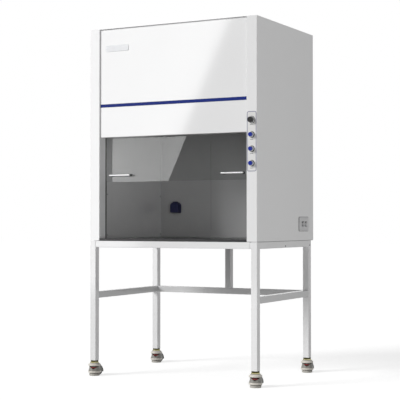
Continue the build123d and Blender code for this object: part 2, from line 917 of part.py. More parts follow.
# Suspension: one grooved pulley, one cable and one weight on each side
wrap_radius = groove_radius + cable_radius + cable_clearance
pulley_y = glass_mid + wrap_radius
weight_y_mid = glass_mid + 2 * wrap_radius
weight_top = pulley_z - pulley_radius - weight_headroom - sash_down
groove = cable_radius + cable_clearance
pin_bore = pulley_pin_radius + pin_clearance
for side, name in ((-1, "left"), (1, "right")):
    pulley_centre = (side * cable_x, pulley_y, pulley_z)
    with BuildPart() as pulley:
        with BuildSketch(Plane(pulley_centre, x_dir=(0, 1, 0), z_dir=(0, 0, -1))):
            with BuildLine():
                CenterArc((wrap_radius, 0), groove, 180, -90)
                Polyline(
                    (wrap_radius, groove),
                    (pulley_radius, pulley_thickness / 2 - pulley_land),
                    (pulley_radius, pulley_thickness / 2),
                    (groove_radius - groove, pulley_thickness / 2),
                    (groove_radius - groove, pulley_web / 2),
                    (pulley_boss_radius, pulley_web / 2),
                    (pulley_boss_radius, pulley_thickness / 2),
                    (pin_bore, pulley_thickness / 2),
                    (pin_bore, 0),
                )
                mirror(about=Plane.XZ)
            make_face()
        revolve(axis=Axis(pulley_centre, (1, 0, 0)))
    write(pulley, f"pulley_{name}")

    with BuildPart() as weight:
        with Locations((side * cable_x, weight_y_mid, weight_top)):
            Box(
                weight_x,
                weight_y,
                weight_height,
                align=(Align.CENTER, Align.CENTER, Align.MAX),
            )
        chamfer(weight.edges().filter_by(Axis.Z), weight_bevel)
        with Locations((side * cable_x, weight_y_mid, weight_top)):
            Cylinder(
                eye_radius,
                anchor_height,
                align=(Align.CENTER, Align.CENTER, Align.MIN),
            )
    write(weight, f"counterweight_{name}")

# Cables, from the sash's anchors over the pulleys to the weights
with BuildPart() as sash_cables:
    for side in (-1, 1):
        with BuildLine(Plane.YZ.offset(side * cable_x)):
            rise = Line((glass_mid, tab_top + anchor_height), (glass_mid, pulley_z))
            wrap = ThreePointArc(
                rise @ 1,
                (pulley_y, pulley_z + wrap_radius),
                (weight_y_mid, pulley_z),
            )
            Line(wrap @ 1, (weight_y_mid, weight_top + anchor_height))
        with BuildSketch(Plane.XY.offset(tab_top + anchor_height)):
            with Locations((side * cable_x, glass_mid)):
                Circle(cable_radius)
        sweep()
write(sash_cables, "sash_cables")

# Pulley brackets: a plate on each side sheet with a headed pin
bracket_x = half - sheet
pin_tip = cable_x - pulley_thickness / 2 - pin_shoulder_gap
boss_length = bracket_x - bracket_plate - cable_x - pulley_thickness / 2 - pin_shoulder_gap
with BuildPart() as pulley_brackets:
    for side in (-1, 1):
        seat = (side * bracket_x, pulley_y, pulley_z)
        plane = Plane(seat, x_dir=(0, 1, 0), z_dir=(-side, 0, 0))
        with BuildSketch(plane):
            RectangleRounded(bracket_size, bracket_size, bracket_corner)
        extrude(amount=bracket_plate)
        with BuildSketch(plane.offset(bracket_plate)):
            Circle(pulley_boss_radius)
        extrude(amount=boss_length)
        with BuildSketch(plane.offset(bracket_plate)):
            Circle(pulley_pin_radius)
        extrude(amount=bracket_x - bracket_plate - pin_tip)
        with BuildSketch(plane.offset(bracket_x - pin_tip)):
            Circle(pulley_boss_radius)
        extrude(amount=pin_head)
write(pulley_brackets, "pulley_brackets")


def control_plane(z, out=0.0):
    """A plane on the right stile at a height, facing out of the front."""
    return Plane((control_x, front - out, z), x_dir=(1, 0, 0), z_dir=(0, -1, 0))


# Controls: the overlay strip, bezels, switch blocks, buttons and knob
plunger_bore = plunger_radius + pin_clearance
shaft_bore_radius = knob_shaft_radius + pin_clearance
overlay_z = overlay_bottom + overlay_height / 2
overlay_width = stile_width - 2 * overlay_margin
with BuildPart() as control_overlay:
    with BuildSketch(control_plane(overlay_z)):
        RectangleRounded(overlay_width, overlay_height, overlay_corner)
        with Locations(*[(0, z - overlay_z) for z in button_zs]):
            Circle(button_hole_radius, mode=Mode.SUBTRACT)
        with Locations((0, knob_z - overlay_z)):
            Circle(knob_hole_radius, mode=Mode.SUBTRACT)
    extrude(amount=overlay_thickness)
write(control_overlay, "control_overlay")

with BuildPart() as button_bezels:
    for z in button_zs:
        with BuildSketch(control_plane(z, overlay_thickness)):
            Circle(bezel_radius)
        extrude(amount=bezel_height)
        with BuildSketch(control_plane(z, overlay_thickness)):
            Circle(bezel_neck_radius)
        extrude(amount=-(bezel_neck + overlay_thickness))
        with BuildSketch(control_plane(z, overlay_thickness + bezel_floor)):
            Circle(cap_radius + cap_gap)
        extrude(amount=bezel_height - bezel_floor, mode=Mode.SUBTRACT)
        with BuildSketch(control_plane(z, overlay_thickness + bezel_floor)):
            Circle(plunger_bore)
        extrude(
            amount=-(bezel_floor + bezel_neck + overlay_thickness),
            mode=Mode.SUBTRACT,
        )
    fillet(
        button_bezels.edges()
        .filter_by(GeomType.CIRCLE)
        .filter_by(lambda e: abs(e.radius - bezel_radius) < pin_clearance)
        .group_by(Axis.Y)[0],
        bezel_edge,
    )
    # the knob's plain bush, behind the overlay
    with BuildSketch(control_plane(knob_z)):
        Circle(bezel_neck_radius)
        Circle(shaft_bore_radius, mode=Mode.SUBTRACT)
    extrude(amount=-bezel_neck)
write(button_bezels, "button_bezels")

with BuildPart() as switch_blocks:
    for z in (knob_z, *button_zs):
        with BuildSketch(control_plane(z, -bezel_neck)):
            RectangleRounded(switch_size, switch_size, switch_corner)
        extrude(amount=-switch_length)
write(switch_blocks, "switch_blocks")

cap_start = overlay_thickness + bezel_floor + button_travel + cap_gap
for z, name in zip(button_zs, ("upper", "middle", "lower")):
    with BuildPart() as button:
        with BuildSketch(control_plane(z, cap_start)):
            Circle(cap_radius)
        extrude(amount=cap_proud - cap_start)
        fillet(button.faces().sort_by(Axis.Y)[0].edges(), cap_edge)
        with BuildSketch(control_plane(z, cap_start)):
            Circle(plunger_radius)
        extrude(amount=-(cap_start + bezel_neck - button_travel - cap_gap))
    write(button, f"button_{name}")

skirt_start = overlay_thickness + knob_gap
with BuildPart() as speed_knob:
    with BuildSketch(control_plane(knob_z, skirt_start)):
        Circle(knob_radius)
    extrude(amount=knob_skirt, taper=knob_draft)
    with BuildSketch(control_plane(knob_z, skirt_start + knob_skirt)):
        Circle(knob_grip_radius)
        with PolarLocations(knob_grip_radius + knob_gap, knob_flutes):
            Circle(flute_radius, mode=Mode.SUBTRACT)
    extrude(amount=control_proud - skirt_start - knob_skirt)
    with BuildSketch(control_plane(knob_z, skirt_start)):
        Circle(knob_shaft_radius)
    extrude(amount=-(skirt_start + bezel_neck - knob_gap))
write(speed_knob, "speed_knob")

# Wall socket on the baffle, with a cover hinged along its top
socket_x = socket_inset - opening
socket_z = worktop_top + socket_rise
socket_top = socket_z + socket_height / 2
hinge_z = socket_top + hinge_rise
hinge_y = baffle_y - socket_base - socket_gap / 2


def socket_outline(inset):
    """The fitting's outline: flat below, with its upper corners cut off."""
    with BuildSketch() as outline:
        Rectangle(socket_width - 2 * inset, socket_height - 2 * inset)
        chamfer(outline.vertices().group_by(Axis.Y)[-1], socket_crown)
        chamfer(outline.vertices().group_by(Axis.Y)[0], socket_chin)
    return outline.sketch


def socket_plane(out):
    """A plane on the baffle at the wall socket, facing into the chamber."""
    centre = (socket_x, baffle_y - out, socket_z)
    return Plane(centre, x_dir=(1, 0, 0), z_dir=(0, -1, 0))


def hinge_plane(x):
    """A plane facing +X on the socket cover's hinge axis."""
    return Plane((socket_x + x, hinge_y, hinge_z), x_dir=(0, 1, 0), z_dir=(1, 0, 0))


knuckle_half = knuckle_length / 2
clear_radius = knuckle_radius + socket_gap
ear_start = knuckle_half + socket_gap
with BuildPart() as wall_socket_base:
    with BuildSketch(socket_plane(0)):
        add(socket_outline(0))
    extrude(amount=socket_base)
    with BuildSketch(hinge_plane(-knuckle_half - socket_gap)):
        Circle(clear_radius)
    extrude(amount=knuckle_length + 2 * socket_gap, mode=Mode.SUBTRACT)
    for start in (ear_start, -ear_start - ear_length):
        with BuildSketch(hinge_plane(start)):
            Circle(knuckle_radius)
        extrude(amount=ear_length)
    with BuildSketch(hinge_plane(-ear_start - ear_length)):
        Circle(hinge_pin_radius)
    extrude(amount=2 * (ear_start + ear_length))
write(wall_socket_base, "wall_socket_base")

with BuildPart() as wall_socket_cover:
    with BuildSketch(socket_plane(socket_base + socket_gap)):
        add(socket_outline(0))
    extrude(amount=socket_cover - socket_gap, taper=cover_draft)
    fillet(
        wall_socket_cover.faces().sort_by(Axis.Y)[0].edges(),
        cover_edge,
    )
    for start in (ear_start - socket_gap, -ear_start - ear_length):
        with BuildSketch(hinge_plane(start)):
            Circle(clear_radius)
        extrude(amount=ear_length + socket_gap, mode=Mode.SUBTRACT)
    with BuildSketch(hinge_plane(-knuckle_half)):
        Circle(knuckle_radius)
    extrude(amount=knuckle_length)
    with BuildSketch(hinge_plane(-knuckle_half)):
        Circle(hinge_pin_radius + pin_clearance)
    extrude(amount=knuckle_length, mode=Mode.SUBTRACT)
write(wall_socket_cover, "wall_socket_cover")

# Twin socket plate on the right side sheet
twin_plane = Plane(
    (half, rear - twin_rear - twin_width / 2, worktop_top + twin_rise),
    x_dir=(0, 1, 0),
    z_dir=(1, 0, 0),
)
with BuildPart() as side_socket:
    with BuildSketch(twin_plane):
        RectangleRounded(twin_width, twin_height, twin_corner)
    extrude(amount=twin_proud)
    chamfer(side_socket.faces().sort_by(Axis.X)[-1].edges(), twin_bevel)
    with BuildSketch(twin_plane.offset(twin_proud)):
        with GridLocations(outlet_spacing, 0, 2, 1):
            RectangleRounded(outlet_width, outlet_height, outlet_corner)
    extrude(amount=-outlet_recess, mode=Mode.SUBTRACT)
write(side_socket, "side_socket")

# Levelling caster, drawn once about its swivel axis with the wheel at the back
plate_low = caster_height - plate_thickness
king_head_low = dome_top - plate_thickness - king_head - swivel_gap
thumb_top = thumb_z + thumb_height
window_low = thumb_z - swivel_gap
window_top = thumb_top + swivel_gap
rim_top = dome_top - dome_depth
waist_low = window_low - waist_height
lip_z = flare_z - lip_depth
stem_bore = stem_radius + stem_clearance
wheel_z = wheel_radius + wheel_lift
foot_pocket = foot_radius + pocket_gap
pocket_top = foot_height + foot_lift + swivel_gap
fender_half = wheel_width / 2 + wheel_gap + fender_thickness

with BuildPart() as mount_shape:
    with BuildSketch(Plane.XZ):
        with BuildLine():
            Polyline(
                (0, king_head_low),
                (king_head_radius, king_head_low),
                (king_head_radius, king_head_low + king_head),
                (king_radius, king_head_low + king_head),
                (king_radius, plate_low),
                (plate_radius, plate_low),
                (plate_radius, caster_height - plate_bevel),
                (plate_radius - plate_bevel, caster_height),
                (king_radius, caster_height),
                (king_radius, caster_height + king_length),
                (0, caster_height + king_length),
                (0, king_head_low),
            )
        make_face()
    revolve(axis=Axis.Z)

with BuildPart() as housing_shape:
    # the turned body: dome, rim, waist, flare and lower lip
    with BuildSketch(Plane.XZ):
        with BuildLine():
            dome = RadiusArc((dome_radius, dome_top), (rim_radius, rim_top), dome_round)
            Polyline(
                dome @ 1,
                (rim_radius, rim_top - rim_height),
                (waist_radius, window_top),
                (waist_radius, waist_low),
            )
            flare = RadiusArc(
                (waist_radius, waist_low),
                (flare_radius, flare_z + flare_height),
                flare_round,
            )
            Polyline(
                flare @ 1,
                (flare_radius, flare_z),
                (flare_radius - lip_inset, lip_z),
                (0, lip_z),
                (0, dome_top),
                dome @ 0,
            )
        make_face()
    revolve(axis=Axis.Z)
    # the fender over the wheel
    with BuildSketch(Plane.YZ.offset(-fender_half)):
        with Locations((wheel_offset, wheel_z)):
            Circle(fender_radius)
        with Locations((0, lip_z)):
            Rectangle(
                wheel_offset,
                wheel_z + fender_radius - lip_z,
                align=(Align.MIN, Align.MIN),
            )
        with Locations((wheel_offset, lip_z)):
            Rectangle(
                2 * fender_radius,
                fender_radius,
                align=(Align.CENTER, Align.MAX),
                mode=Mode.SUBTRACT,
            )
    extrude(amount=2 * fender_half)
    fillet(
        housing_shape.edges().filter_by(GeomType.CIRCLE).filter_by(
            lambda e: abs(e.radius - fender_radius) < swivel_gap
        ),
        fender_thickness / 2,
    )
    # wheel pocket and axle
    with BuildSketch(Plane.YZ.offset(-wheel_width / 2 - wheel_gap)):
        with Locations((wheel_offset, wheel_z)):
            Circle(wheel_radius + 2 * wheel_gap)
            Rectangle(
                2 * (wheel_radius + 2 * wheel_gap),
                wheel_z,
                align=(Align.CENTER, Align.MAX),
            )
    extrude(amount=wheel_width + 2 * wheel_gap, mode=Mode.SUBTRACT)
    with BuildSketch(Plane.YZ.offset(-fender_half + sheet)):
        with Locations((wheel_offset, wheel_z)):
            Circle(axle_radius)
    extrude(amount=2 * (fender_half - sheet))
    # foot pocket, stem bore, thumbwheel chamber and the seat of the king pin
    with BuildSketch(Plane.XY):
        Circle(foot_pocket)
    extrude(amount=pocket_top, mode=Mode.SUBTRACT)
    with BuildSketch(Plane.XY.offset(pocket_top)):
        Circle(stem_bore)
    extrude(amount=window_low - pocket_top, mode=Mode.SUBTRACT)
    with BuildSketch(Plane.XY.offset(window_low)):
        Circle(thumb_radius + thumb_gap)
    extrude(amount=window_top - window_low, mode=Mode.SUBTRACT)
    with BuildSketch(Plane.XY.offset(window_top)):
        Circle(king_head_radius + swivel_gap)
    extrude(
        amount=king_head_low + king_head + swivel_gap - window_top,
        mode=Mode.SUBTRACT,
    )
    with BuildSketch(Plane.XY.offset(window_top)):
        Circle(king_radius + king_clearance)
    extrude(amount=dome_top - window_top, mode=Mode.SUBTRACT)
    # the window in front of the thumbwheel, with its dipped lower edge
    with BuildSketch(Plane.XZ):
        with BuildLine():
            Polyline(
                (-flare_radius, window_low),
                (-waist_radius / 2, window_low),
                (0, window_low - slot_dip),
                (waist_radius / 2, window_low),
                (flare_radius, window_low),
                (flare_radius, window_top),
                (-flare_radius, window_top),
                (-flare_radius, window_low),
            )
        make_face()
    extrude(amount=flare_radius, mode=Mode.SUBTRACT)

with BuildPart() as wheel_shape:
    with BuildSketch(Plane.YZ.offset(-wheel_width / 2)):
        with Locations((wheel_offset, wheel_z)):
            Circle(wheel_radius)
    extrude(amount=wheel_width)
    fillet(wheel_shape.edges().filter_by(GeomType.CIRCLE), wheel_edge)
    with BuildSketch(Plane.YZ.offset(-wheel_width / 2)):
        with Locations((wheel_offset, wheel_z)):
            Circle(axle_radius + pin_clearance)
    extrude(amount=wheel_width, mode=Mode.SUBTRACT)

with BuildPart() as thumbwheel_shape:
    with BuildSketch(Plane.XY.offset(thumb_z)):
        Circle(thumb_radius)
        with PolarLocations(thumb_radius + thumb_gap, thumb_notches):
            Circle(notch_radius, mode=Mode.SUBTRACT)
        Circle(stem_bore, mode=Mode.SUBTRACT)
    extrude(amount=thumb_height)

stem_top = king_head_low - foot_lift - stem_gap
with BuildPart() as foot_shape:
    with BuildSketch(Plane.XZ):
        with BuildLine():
            Polyline(
                (0, 0),
                (foot_radius - foot_toe[0], 0),
                (foot_radius, foot_toe[1]),
                (foot_radius, foot_height - foot_crown[1]),
                (foot_radius - foot_crown[0], foot_height),
                (stem_radius, foot_height),
                (stem_radius, stem_top),
                (0, stem_top),
                (0, 0),
            )
        make_face()
    revolve(axis=Axis.Z)

corners = ("front_left", "rear_left", "front_right", "rear_right")
caster_parts = (
    (housing_shape, "housing"),
    (wheel_shape, "wheel"),
    (thumbwheel_shape, "thumbwheel"),
    (foot_shape, "foot"),
)
for corner, (x, y) in zip(corners, leg_places):
    for shape, kind in caster_parts:
        with BuildPart() as placed:
            with Locations((x, y, 0)):
                add(shape.part)
        write(placed, f"caster_{corner}_{kind}")

with BuildPart() as caster_mounts:
    with Locations(*leg_places):
        add(mount_shape.part)
write(caster_mounts, "caster_mounts")

# Cable gland for the mains on the top sheet, at the back
with BuildPart() as mains_gland:
    with BuildSketch(Plane.XY.offset(cabinet_top)):
        with Locations((gland_x, gland_y)):
            RegularPolygon(gland_hex_radius, 6)
    extrude(amount=gland_hex_height)
    with BuildSketch(Plane.XY.offset(cabinet_top + gland_hex_height)):
        with Locations((gland_x, gland_y)):
            Circle(gland_radius)
    extrude(amount=gland_height - gland_hex_height, taper=gland_draft)
    with BuildSketch(Plane.XY.offset(cabinet_top - gland_tail)):
        with Locations((gland_x, gland_y)):
            Circle(gland_radius - gland_clearance)
    extrude(amount=gland_tail)
    with BuildSketch(Plane.XY.offset(cabinet_top - gland_tail)):
        with Locations((gland_x, gland_y)):
            Circle(gland_bore)
    extrude(amount=gland_tail + gland_height, mode=Mode.SUBTRACT)
write(mains_gland, "mains_gland")

# Fasteners that show: pan heads on liners, rear sheet and collar, and bolts
liner_screw_ys = (liner_front + liner_screw_inset, baffle_y - liner_screw_inset)
liner_screw_zs = [worktop_top + rise for rise in liner_screw_rises]
liner_screws = [(y, z) for y in liner_screw_ys for z in liner_screw_zs]
rear_screw_pitch = cabinet_height / rear_screw_count
rear_screw_x = half - rear_flange / 2
rear_screw_zs = [
    cabinet_bottom + (n + 0.5) * rear_screw_pitch for n in range(rear_screw_count)
]
bolt_z = rail_z - bolt_drop
bolt_ys = ((leg_front_y + leg_rear_y) / 2, leg_rear_y)
with BuildPart() as fasteners:
    for side in (-1, 1):
        liner_plane = Plane((side * opening, 0, 0), x_dir=(0, -side, 0), z_dir=(-side, 0, 0))
        with BuildSketch(liner_plane):
            with Locations(*[(-side * y, z) for y, z in liner_screws]):
                Circle(screw_radius)
        extrude(amount=screw_head, taper=screw_slope)
        with BuildSketch(Plane.XZ.offset(-rear)):
            with Locations(*[(side * rear_screw_x, z) for z in rear_screw_zs]):
                Circle(screw_radius)
        extrude(amount=-screw_head, taper=screw_slope)
        bolt_plane = Plane((side * half, 0, bolt_z), x_dir=(0, side, 0), z_dir=(side, 0, 0))
        with BuildSketch(bolt_plane):
            with Locations(*[(side * y, 0) for y in bolt_ys]):
                Circle(bolt_radius)
        extrude(amount=bolt_head, taper=screw_slope)
    with BuildSketch(Plane.XY.offset(cabinet_top + collar_flange_thickness)):
        with Locations((0, collar_y)):
            with PolarLocations(collar_radius + collar_flange / 2, collar_screw_count):
                Circle(screw_radius)
    extrude(amount=screw_head, taper=screw_slope)
write(fasteners, "fasteners")
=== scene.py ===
# A ducted fume hood on a four-legged stand with levelling casters, in a plain studio.
import logging
import math
from dataclasses import dataclass, field
from enum import Enum
from functools import reduce
from typing import Iterable

import bmesh
import bpy
import numpy as np
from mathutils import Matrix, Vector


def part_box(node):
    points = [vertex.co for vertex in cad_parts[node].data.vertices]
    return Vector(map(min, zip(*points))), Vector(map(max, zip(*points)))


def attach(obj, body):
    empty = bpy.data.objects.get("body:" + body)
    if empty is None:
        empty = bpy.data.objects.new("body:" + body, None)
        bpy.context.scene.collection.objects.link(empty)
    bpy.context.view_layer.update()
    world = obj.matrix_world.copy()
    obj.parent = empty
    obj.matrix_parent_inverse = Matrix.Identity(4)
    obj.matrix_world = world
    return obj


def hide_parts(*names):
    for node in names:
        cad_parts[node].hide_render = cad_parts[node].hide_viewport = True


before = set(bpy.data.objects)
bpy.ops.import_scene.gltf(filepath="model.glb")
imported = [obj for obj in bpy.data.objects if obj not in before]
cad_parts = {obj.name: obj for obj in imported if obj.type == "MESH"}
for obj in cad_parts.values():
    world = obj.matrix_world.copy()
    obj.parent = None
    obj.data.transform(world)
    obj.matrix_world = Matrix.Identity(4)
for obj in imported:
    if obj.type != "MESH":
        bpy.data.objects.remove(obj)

LOG = logging.getLogger("fume_hood")
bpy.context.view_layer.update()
LONGEST_MITRE = 2.0  # half widths that a ribbon's corner may reach
WELD = 1e-7  # metres
SHARP_ANGLE = 32.0  # degrees

Rgb = tuple[float, float, float]
Point = tuple[float, float, float]
Span = tuple[float, float]
Socket = bpy.types.NodeSocket


def linear(red: float, green: float, blue: float) -> Rgb:
    """Turn a display colour, 0 to 255 a channel, into the renderer's linear colour.

    Args:
        red: Display red.
        green: Display green.
        blue: Display blue.

    Returns:
        The linear colour, by the usual curve of a 2.4 power above a short straight toe.
    """
    share = np.array([red, green, blue]) / 255.0
    bright = ((share + 0.055) / 1.055) ** 2.4
    return tuple(float(c) for c in np.where(share > 0.04045, bright, share / 12.92))


class Direction(Enum):
    """The way that a brushed or rolled grain runs, as the stretch of its noise."""

    ALONG_X = (0.02, 1.0, 1.0)
    EVEN = (1.0, 1.0, 1.0)


class Shading:
    """A material's node tree, with short calls for the nodes that the finishes share."""

    def __init__(self, name: str) -> None:
        """Start a material with a Principled shader that reads Object coordinates.

        Args:
            name: The material's name.
        """
        self.material = bpy.data.materials.new(name)
        self.material.use_nodes = True
        self.tree = self.material.node_tree
        self.shader = self.tree.nodes["Principled BSDF"]
        self.place = self.node("ShaderNodeTexCoord").outputs["Object"]

    def node(self, kind: str, **settings: object) -> bpy.types.Node:
        """Add a node and set its plain properties.

        Args:
            kind: The node's type name.
            settings: Properties of the node and their values.

        Returns:
            The new node.
        """
        made = self.tree.nodes.new(kind)
        for name, value in settings.items():
            setattr(made, name, value)
        return made

    def feed(self, socket: Socket, value: object) -> None:
        """Link an output to a socket, or set the socket to a plain value.

        Args:
            socket: The socket to feed.
            value: An output, a number or a colour.
        """
        if isinstance(value, Socket):
            self.tree.links.new(value, socket)
        else:
            socket.default_value = value

    def set(self, **values: object) -> None:
        """Feed the shader's sockets, named in lower case with underscores."""
        for name, value in values.items():
            self.feed(self.shader.inputs[name.replace("_", " ").title().replace("Ior", "IOR")], value)

    def noise(self, scale: float, detail: float, grain: Direction = Direction.EVEN) -> Socket:
        """A fractal noise over the object, between 0 and 1.

        Args:
            scale: Cycles for each metre.
            detail: Octaves of finer noise.
            grain: The way that the noise is drawn out.

        Returns:
            The noise's value.
        """
        stretch = self.node("ShaderNodeMapping")
        self.feed(stretch.inputs["Vector"], self.place)
        stretch.inputs["Scale"].default_value = grain.value
        made = self.node("ShaderNodeTexNoise")
        self.feed(made.inputs["Vector"], stretch.outputs["Vector"])
        made.inputs["Scale"].default_value = scale
        made.inputs["Detail"].default_value = detail
        return made.outputs["Fac"]

    def spread(self, value: Socket, start: float, end: float, low: float, high: float) -> Socket:
        """Map a value from one range onto another, held at its ends.

        Args:
            value: The value to map.
            start: The value that gives low.
            end: The value that gives high.
            low: The result at the start.
            high: The result at the end.

        Returns:
            The mapped value.
        """
        made = self.node("ShaderNodeMapRange")
        names = ("Value", "From Min", "From Max", "To Min", "To Max")
        for name, item in zip(names, (value, start, end, low, high)):
            self.feed(made.inputs[name], item)
        return made.outputs["Result"]

    def band(self, value: Socket, low: float, high: float) -> Socket:
        """One between two limits and zero outside them.

        Args:
            value: The value to test.
            low: The lower limit.
            high: The upper limit.

        Returns:
            The band.
        """
        over = self.spread(value, low - BAND_EDGE, low + BAND_EDGE, 0.0, 1.0)
        under = self.spread(value, high - BAND_EDGE, high + BAND_EDGE, 1.0, 0.0)
        return self.sum("MULTIPLY", over, under)

    def blend(self, share: object, first: object, second: object) -> Socket:
        """Mix two colours by a share from 0 to 1.

        Args:
            share: How much of the second colour shows.
            first: A colour or an output.
            second: A colour or an output.

        Returns:
            The mixed colour.
        """
        made = self.node("ShaderNodeMix", data_type="RGBA")
        self.feed(made.inputs["Factor"], share)
        for name, colour in (("A", first), ("B", second)):
            socket = next(s for s in made.inputs if s.name == name and s.type == "RGBA")
            self.feed(socket, colour if isinstance(colour, Socket) else (*colour, 1.0))
        return next(s for s in made.outputs if s.type == "RGBA")

    def sum(self, operation: str, first: object, second: object = 0.0) -> Socket:
        """One step of arithmetic on values.

        Args:
            operation: The Math node's operation.
            first: A number or an output.
            second: A number or an output.

        Returns:
            The result.
        """
        made = self.node("ShaderNodeMath", operation=operation)
        self.feed(made.inputs[0], first)
        self.feed(made.inputs[1], second)
        return made.outputs[0]

    def axes(self) -> tuple[Socket, Socket, Socket]:
        """Split a point of the object into its coordinates.

        Returns:
            The point's X, Y and Z, in metres.
        """
        made = self.node("ShaderNodeSeparateXYZ")
        self.feed(made.inputs[0], self.place)
        return made.outputs[0], made.outputs[1], made.outputs[2]

    def relief(self, height: Socket, depth: float) -> None:
        """Raise the surface's shading by a height from 0 to 1.

        Args:
            height: The height's value.
            depth: The real height of a full step, in metres.
        """
        made = self.node("ShaderNodeBump")
        self.feed(made.inputs["Height"], height)
        made.inputs["Distance"].default_value = depth
        made.inputs["Strength"].default_value = 1.0
        self.feed(self.shader.inputs["Normal"], made.outputs["Normal"])


# Where a noise starts and ends its blend, and how softly a painted band ends, in metres.
WIDE_SPAN = (0.3, 0.7)
PATCH_SPAN = (0.35, 0.65)
DRIFT_SPAN = (0.38, 0.62)
SMEAR_SPAN = (0.55, 0.8)
BAND_EDGE = 0.0006


@dataclass(frozen=True)
class Finish:
    """A surface finish: a base colour with soft variation, gloss and fine relief.

    The colour sinks to shade times itself in slow patches. Gloss is the roughness at the two
    ends of the fine grain, and relief that grain's height in metres. Patch and grain are the
    noises' cycles for each metre, and run is the way that they are drawn out.
    """

    name: str
    colour: Rgb
    shade: float = 0.94
    gloss: Span = (0.3, 0.4)
    metallic: float = 0.0
    specular: float = 0.5
    patch: float = 9.0
    grain: float = 900.0
    relief: float = 0.00002
    run: Direction = Direction.EVEN

    def material(self) -> bpy.types.Material:
        """The finish's material, made the first time that it is asked for.

        Returns:
            The material.
        """
        made = bpy.data.materials.get(self.name)
        if made is None:
            shading = Shading(self.name)
            self.dress(shading)
            made = shading.material
        return made

    def tone(self, shading: Shading, octaves: float = 3.0, span: Span = PATCH_SPAN) -> Socket:
        """The colour, a little darker in slow patches.

        Args:
            shading: The tree to build in.
            octaves: Octaves of the patches' noise.
            span: Where that noise starts and ends the blend.

        Returns:
            The patched colour.
        """
        slow = shading.noise(self.patch, octaves, self.run)
        dark = tuple(c * self.shade for c in self.colour)
        return shading.blend(shading.spread(slow, *span, 0.0, 1.0), dark, self.colour)

    def dress(self, shading: Shading) -> None:
        """Build the finish from a slow patch of tone and a fine grain.

        Args:
            shading: The tree to build in.
        """
        fine = shading.noise(self.grain, 2.0, self.run)
        shading.set(
            base_color=self.tone(shading),
            roughness=shading.spread(fine, *WIDE_SPAN, *self.gloss),
            metallic=self.metallic,
            specular_ior_level=self.specular,
        )
        shading.relief(fine, self.relief)


@dataclass(frozen=True)
class PowderCoat(Finish):
    """White powder coat: a hard gloss with a faint orange peel."""

    peel: float = 260.0
    fine_share: float = 0.2

    def dress(self, shading: Shading) -> None:
        """Lay a wide peel under a fine one, over a nearly even white.

        Args:
            shading: The tree to build in.
        """
        peel = shading.noise(self.peel, 1.0)
        fine = shading.noise(self.grain, 2.0)
        shading.set(
            base_color=self.tone(shading, 2.0, WIDE_SPAN),
            roughness=shading.spread(fine, *WIDE_SPAN, *self.gloss),
            specular_ior_level=self.specular,
        )
        shading.relief(shading.sum("ADD", peel, shading.sum("MULTIPLY", fine, self.fine_share)), self.relief)


@dataclass(frozen=True)
class ClearGlass(Finish):
    """Toughened clear glass, a little grey, with the faintest smears."""

    lift: float = 1.03
    index: float = 1.5

    def dress(self, shading: Shading) -> None:
        """Let light through, with the smears in the gloss and barely in the tint.

        Args:
            shading: The tree to build in.
        """
        smear = shading.noise(self.patch, 4.0)
        clear = tuple(self.lift * c for c in self.colour)
        shading.set(
            base_color=shading.blend(shading.spread(smear, *WIDE_SPAN, 0.0, 1.0), self.colour, clear),
            roughness=shading.spread(smear, *SMEAR_SPAN, *self.gloss),
            specular_ior_level=self.specular,
            transmission_weight=1.0,
            ior=self.index,
        )


@dataclass(frozen=True)
class ZonedCasting(Finish):
    """A casting or moulding whose bands are of another tone, by height over the floor: the casting's pale
    rims, and painted shade high on the thumbwheel.
    """

    rims_and_shade: Rgb = (0.6, 0.58, 0.52)
    bands: tuple[Span, ...] = ()

    def dress(self, shading: Shading) -> None:
        """Paint the bands over a body with a cast grain; on the thumbwheel the band is painted shade.

        Args:
            shading: The tree to build in.
        """
        height = shading.axes()[2]
        bands = [shading.band(height, low, high) for low, high in self.bands]
        banded = reduce(lambda first, second: shading.sum("MAXIMUM", first, second), bands)
        fine = shading.noise(self.grain, 3.0)
        shading.set(
            base_color=shading.blend(banded, self.tone(shading), self.rims_and_shade),
            roughness=shading.spread(fine, *WIDE_SPAN, *self.gloss),
            specular_ior_level=self.specular,
        )
        shading.relief(fine, self.relief)


@dataclass(frozen=True)
class ZincPlate(Finish):
    """Yellow passivated zinc, with a drifting tint over bright metal."""

    warm: Rgb = (0.5, 0.45, 0.2)
    shadow_olive: Rgb = (0.03, 0.028, 0.008)
    joint: float = 0.0856

    def dress(self, shading: Shading) -> None:
        """Drift from pale to warm yellow on a fine grain, with painted shadow above the joint, under the
        tube.

        Args:
            shading: The tree to build in.
        """
        drift = shading.noise(self.patch, 4.0)
        fine = shading.noise(self.grain, 2.0)
        height = shading.axes()[2]
        # Above the joint the plate turns dark olive: painted shadow under the leg's tube.
        painted_shadow = shading.spread(height, self.joint - BAND_EDGE, self.joint + BAND_EDGE, 0.0, 1.0)
        tint = shading.blend(shading.spread(drift, *DRIFT_SPAN, 0.0, 1.0), self.colour, self.warm)
        shading.set(
            base_color=shading.blend(painted_shadow, tint, self.shadow_olive),
            roughness=shading.spread(fine, *WIDE_SPAN, *self.gloss),
            metallic=self.metallic,
        )
        shading.relief(fine, self.relief)


@dataclass(frozen=True)
class WireRope(Finish):
    """Stranded steel wire: a twist that climbs the cable, with painted shade in the hollows between its
    strands.
    """

    lay: float = 0.009
    lean: float = 0.003
    hollow_shade: Rgb = (0.12, 0.12, 0.13)

    def dress(self, shading: Shading) -> None:
        """Run a slanted sine wave up the cable as its strands: sin((x + y) / lean + 2 pi z / lay).

        Args:
            shading: The tree to build in.
        """
        x, y, z = shading.axes()
        lean = shading.sum("MULTIPLY", shading.sum("ADD", x, y), 1.0 / self.lean)
        climb = shading.sum("MULTIPLY", z, 2.0 * math.pi / self.lay)
        strand = shading.spread(shading.sum("SINE", shading.sum("ADD", climb, lean)), -1.0, 1.0, 0.0, 1.0)
        # The hollows between the strands take the darker colour: painted shade.
        shading.set(
            base_color=shading.blend(strand, self.hollow_shade, self.colour),
            roughness=self.gloss[0],
            metallic=self.metallic,
        )
        shading.relief(strand, self.relief)


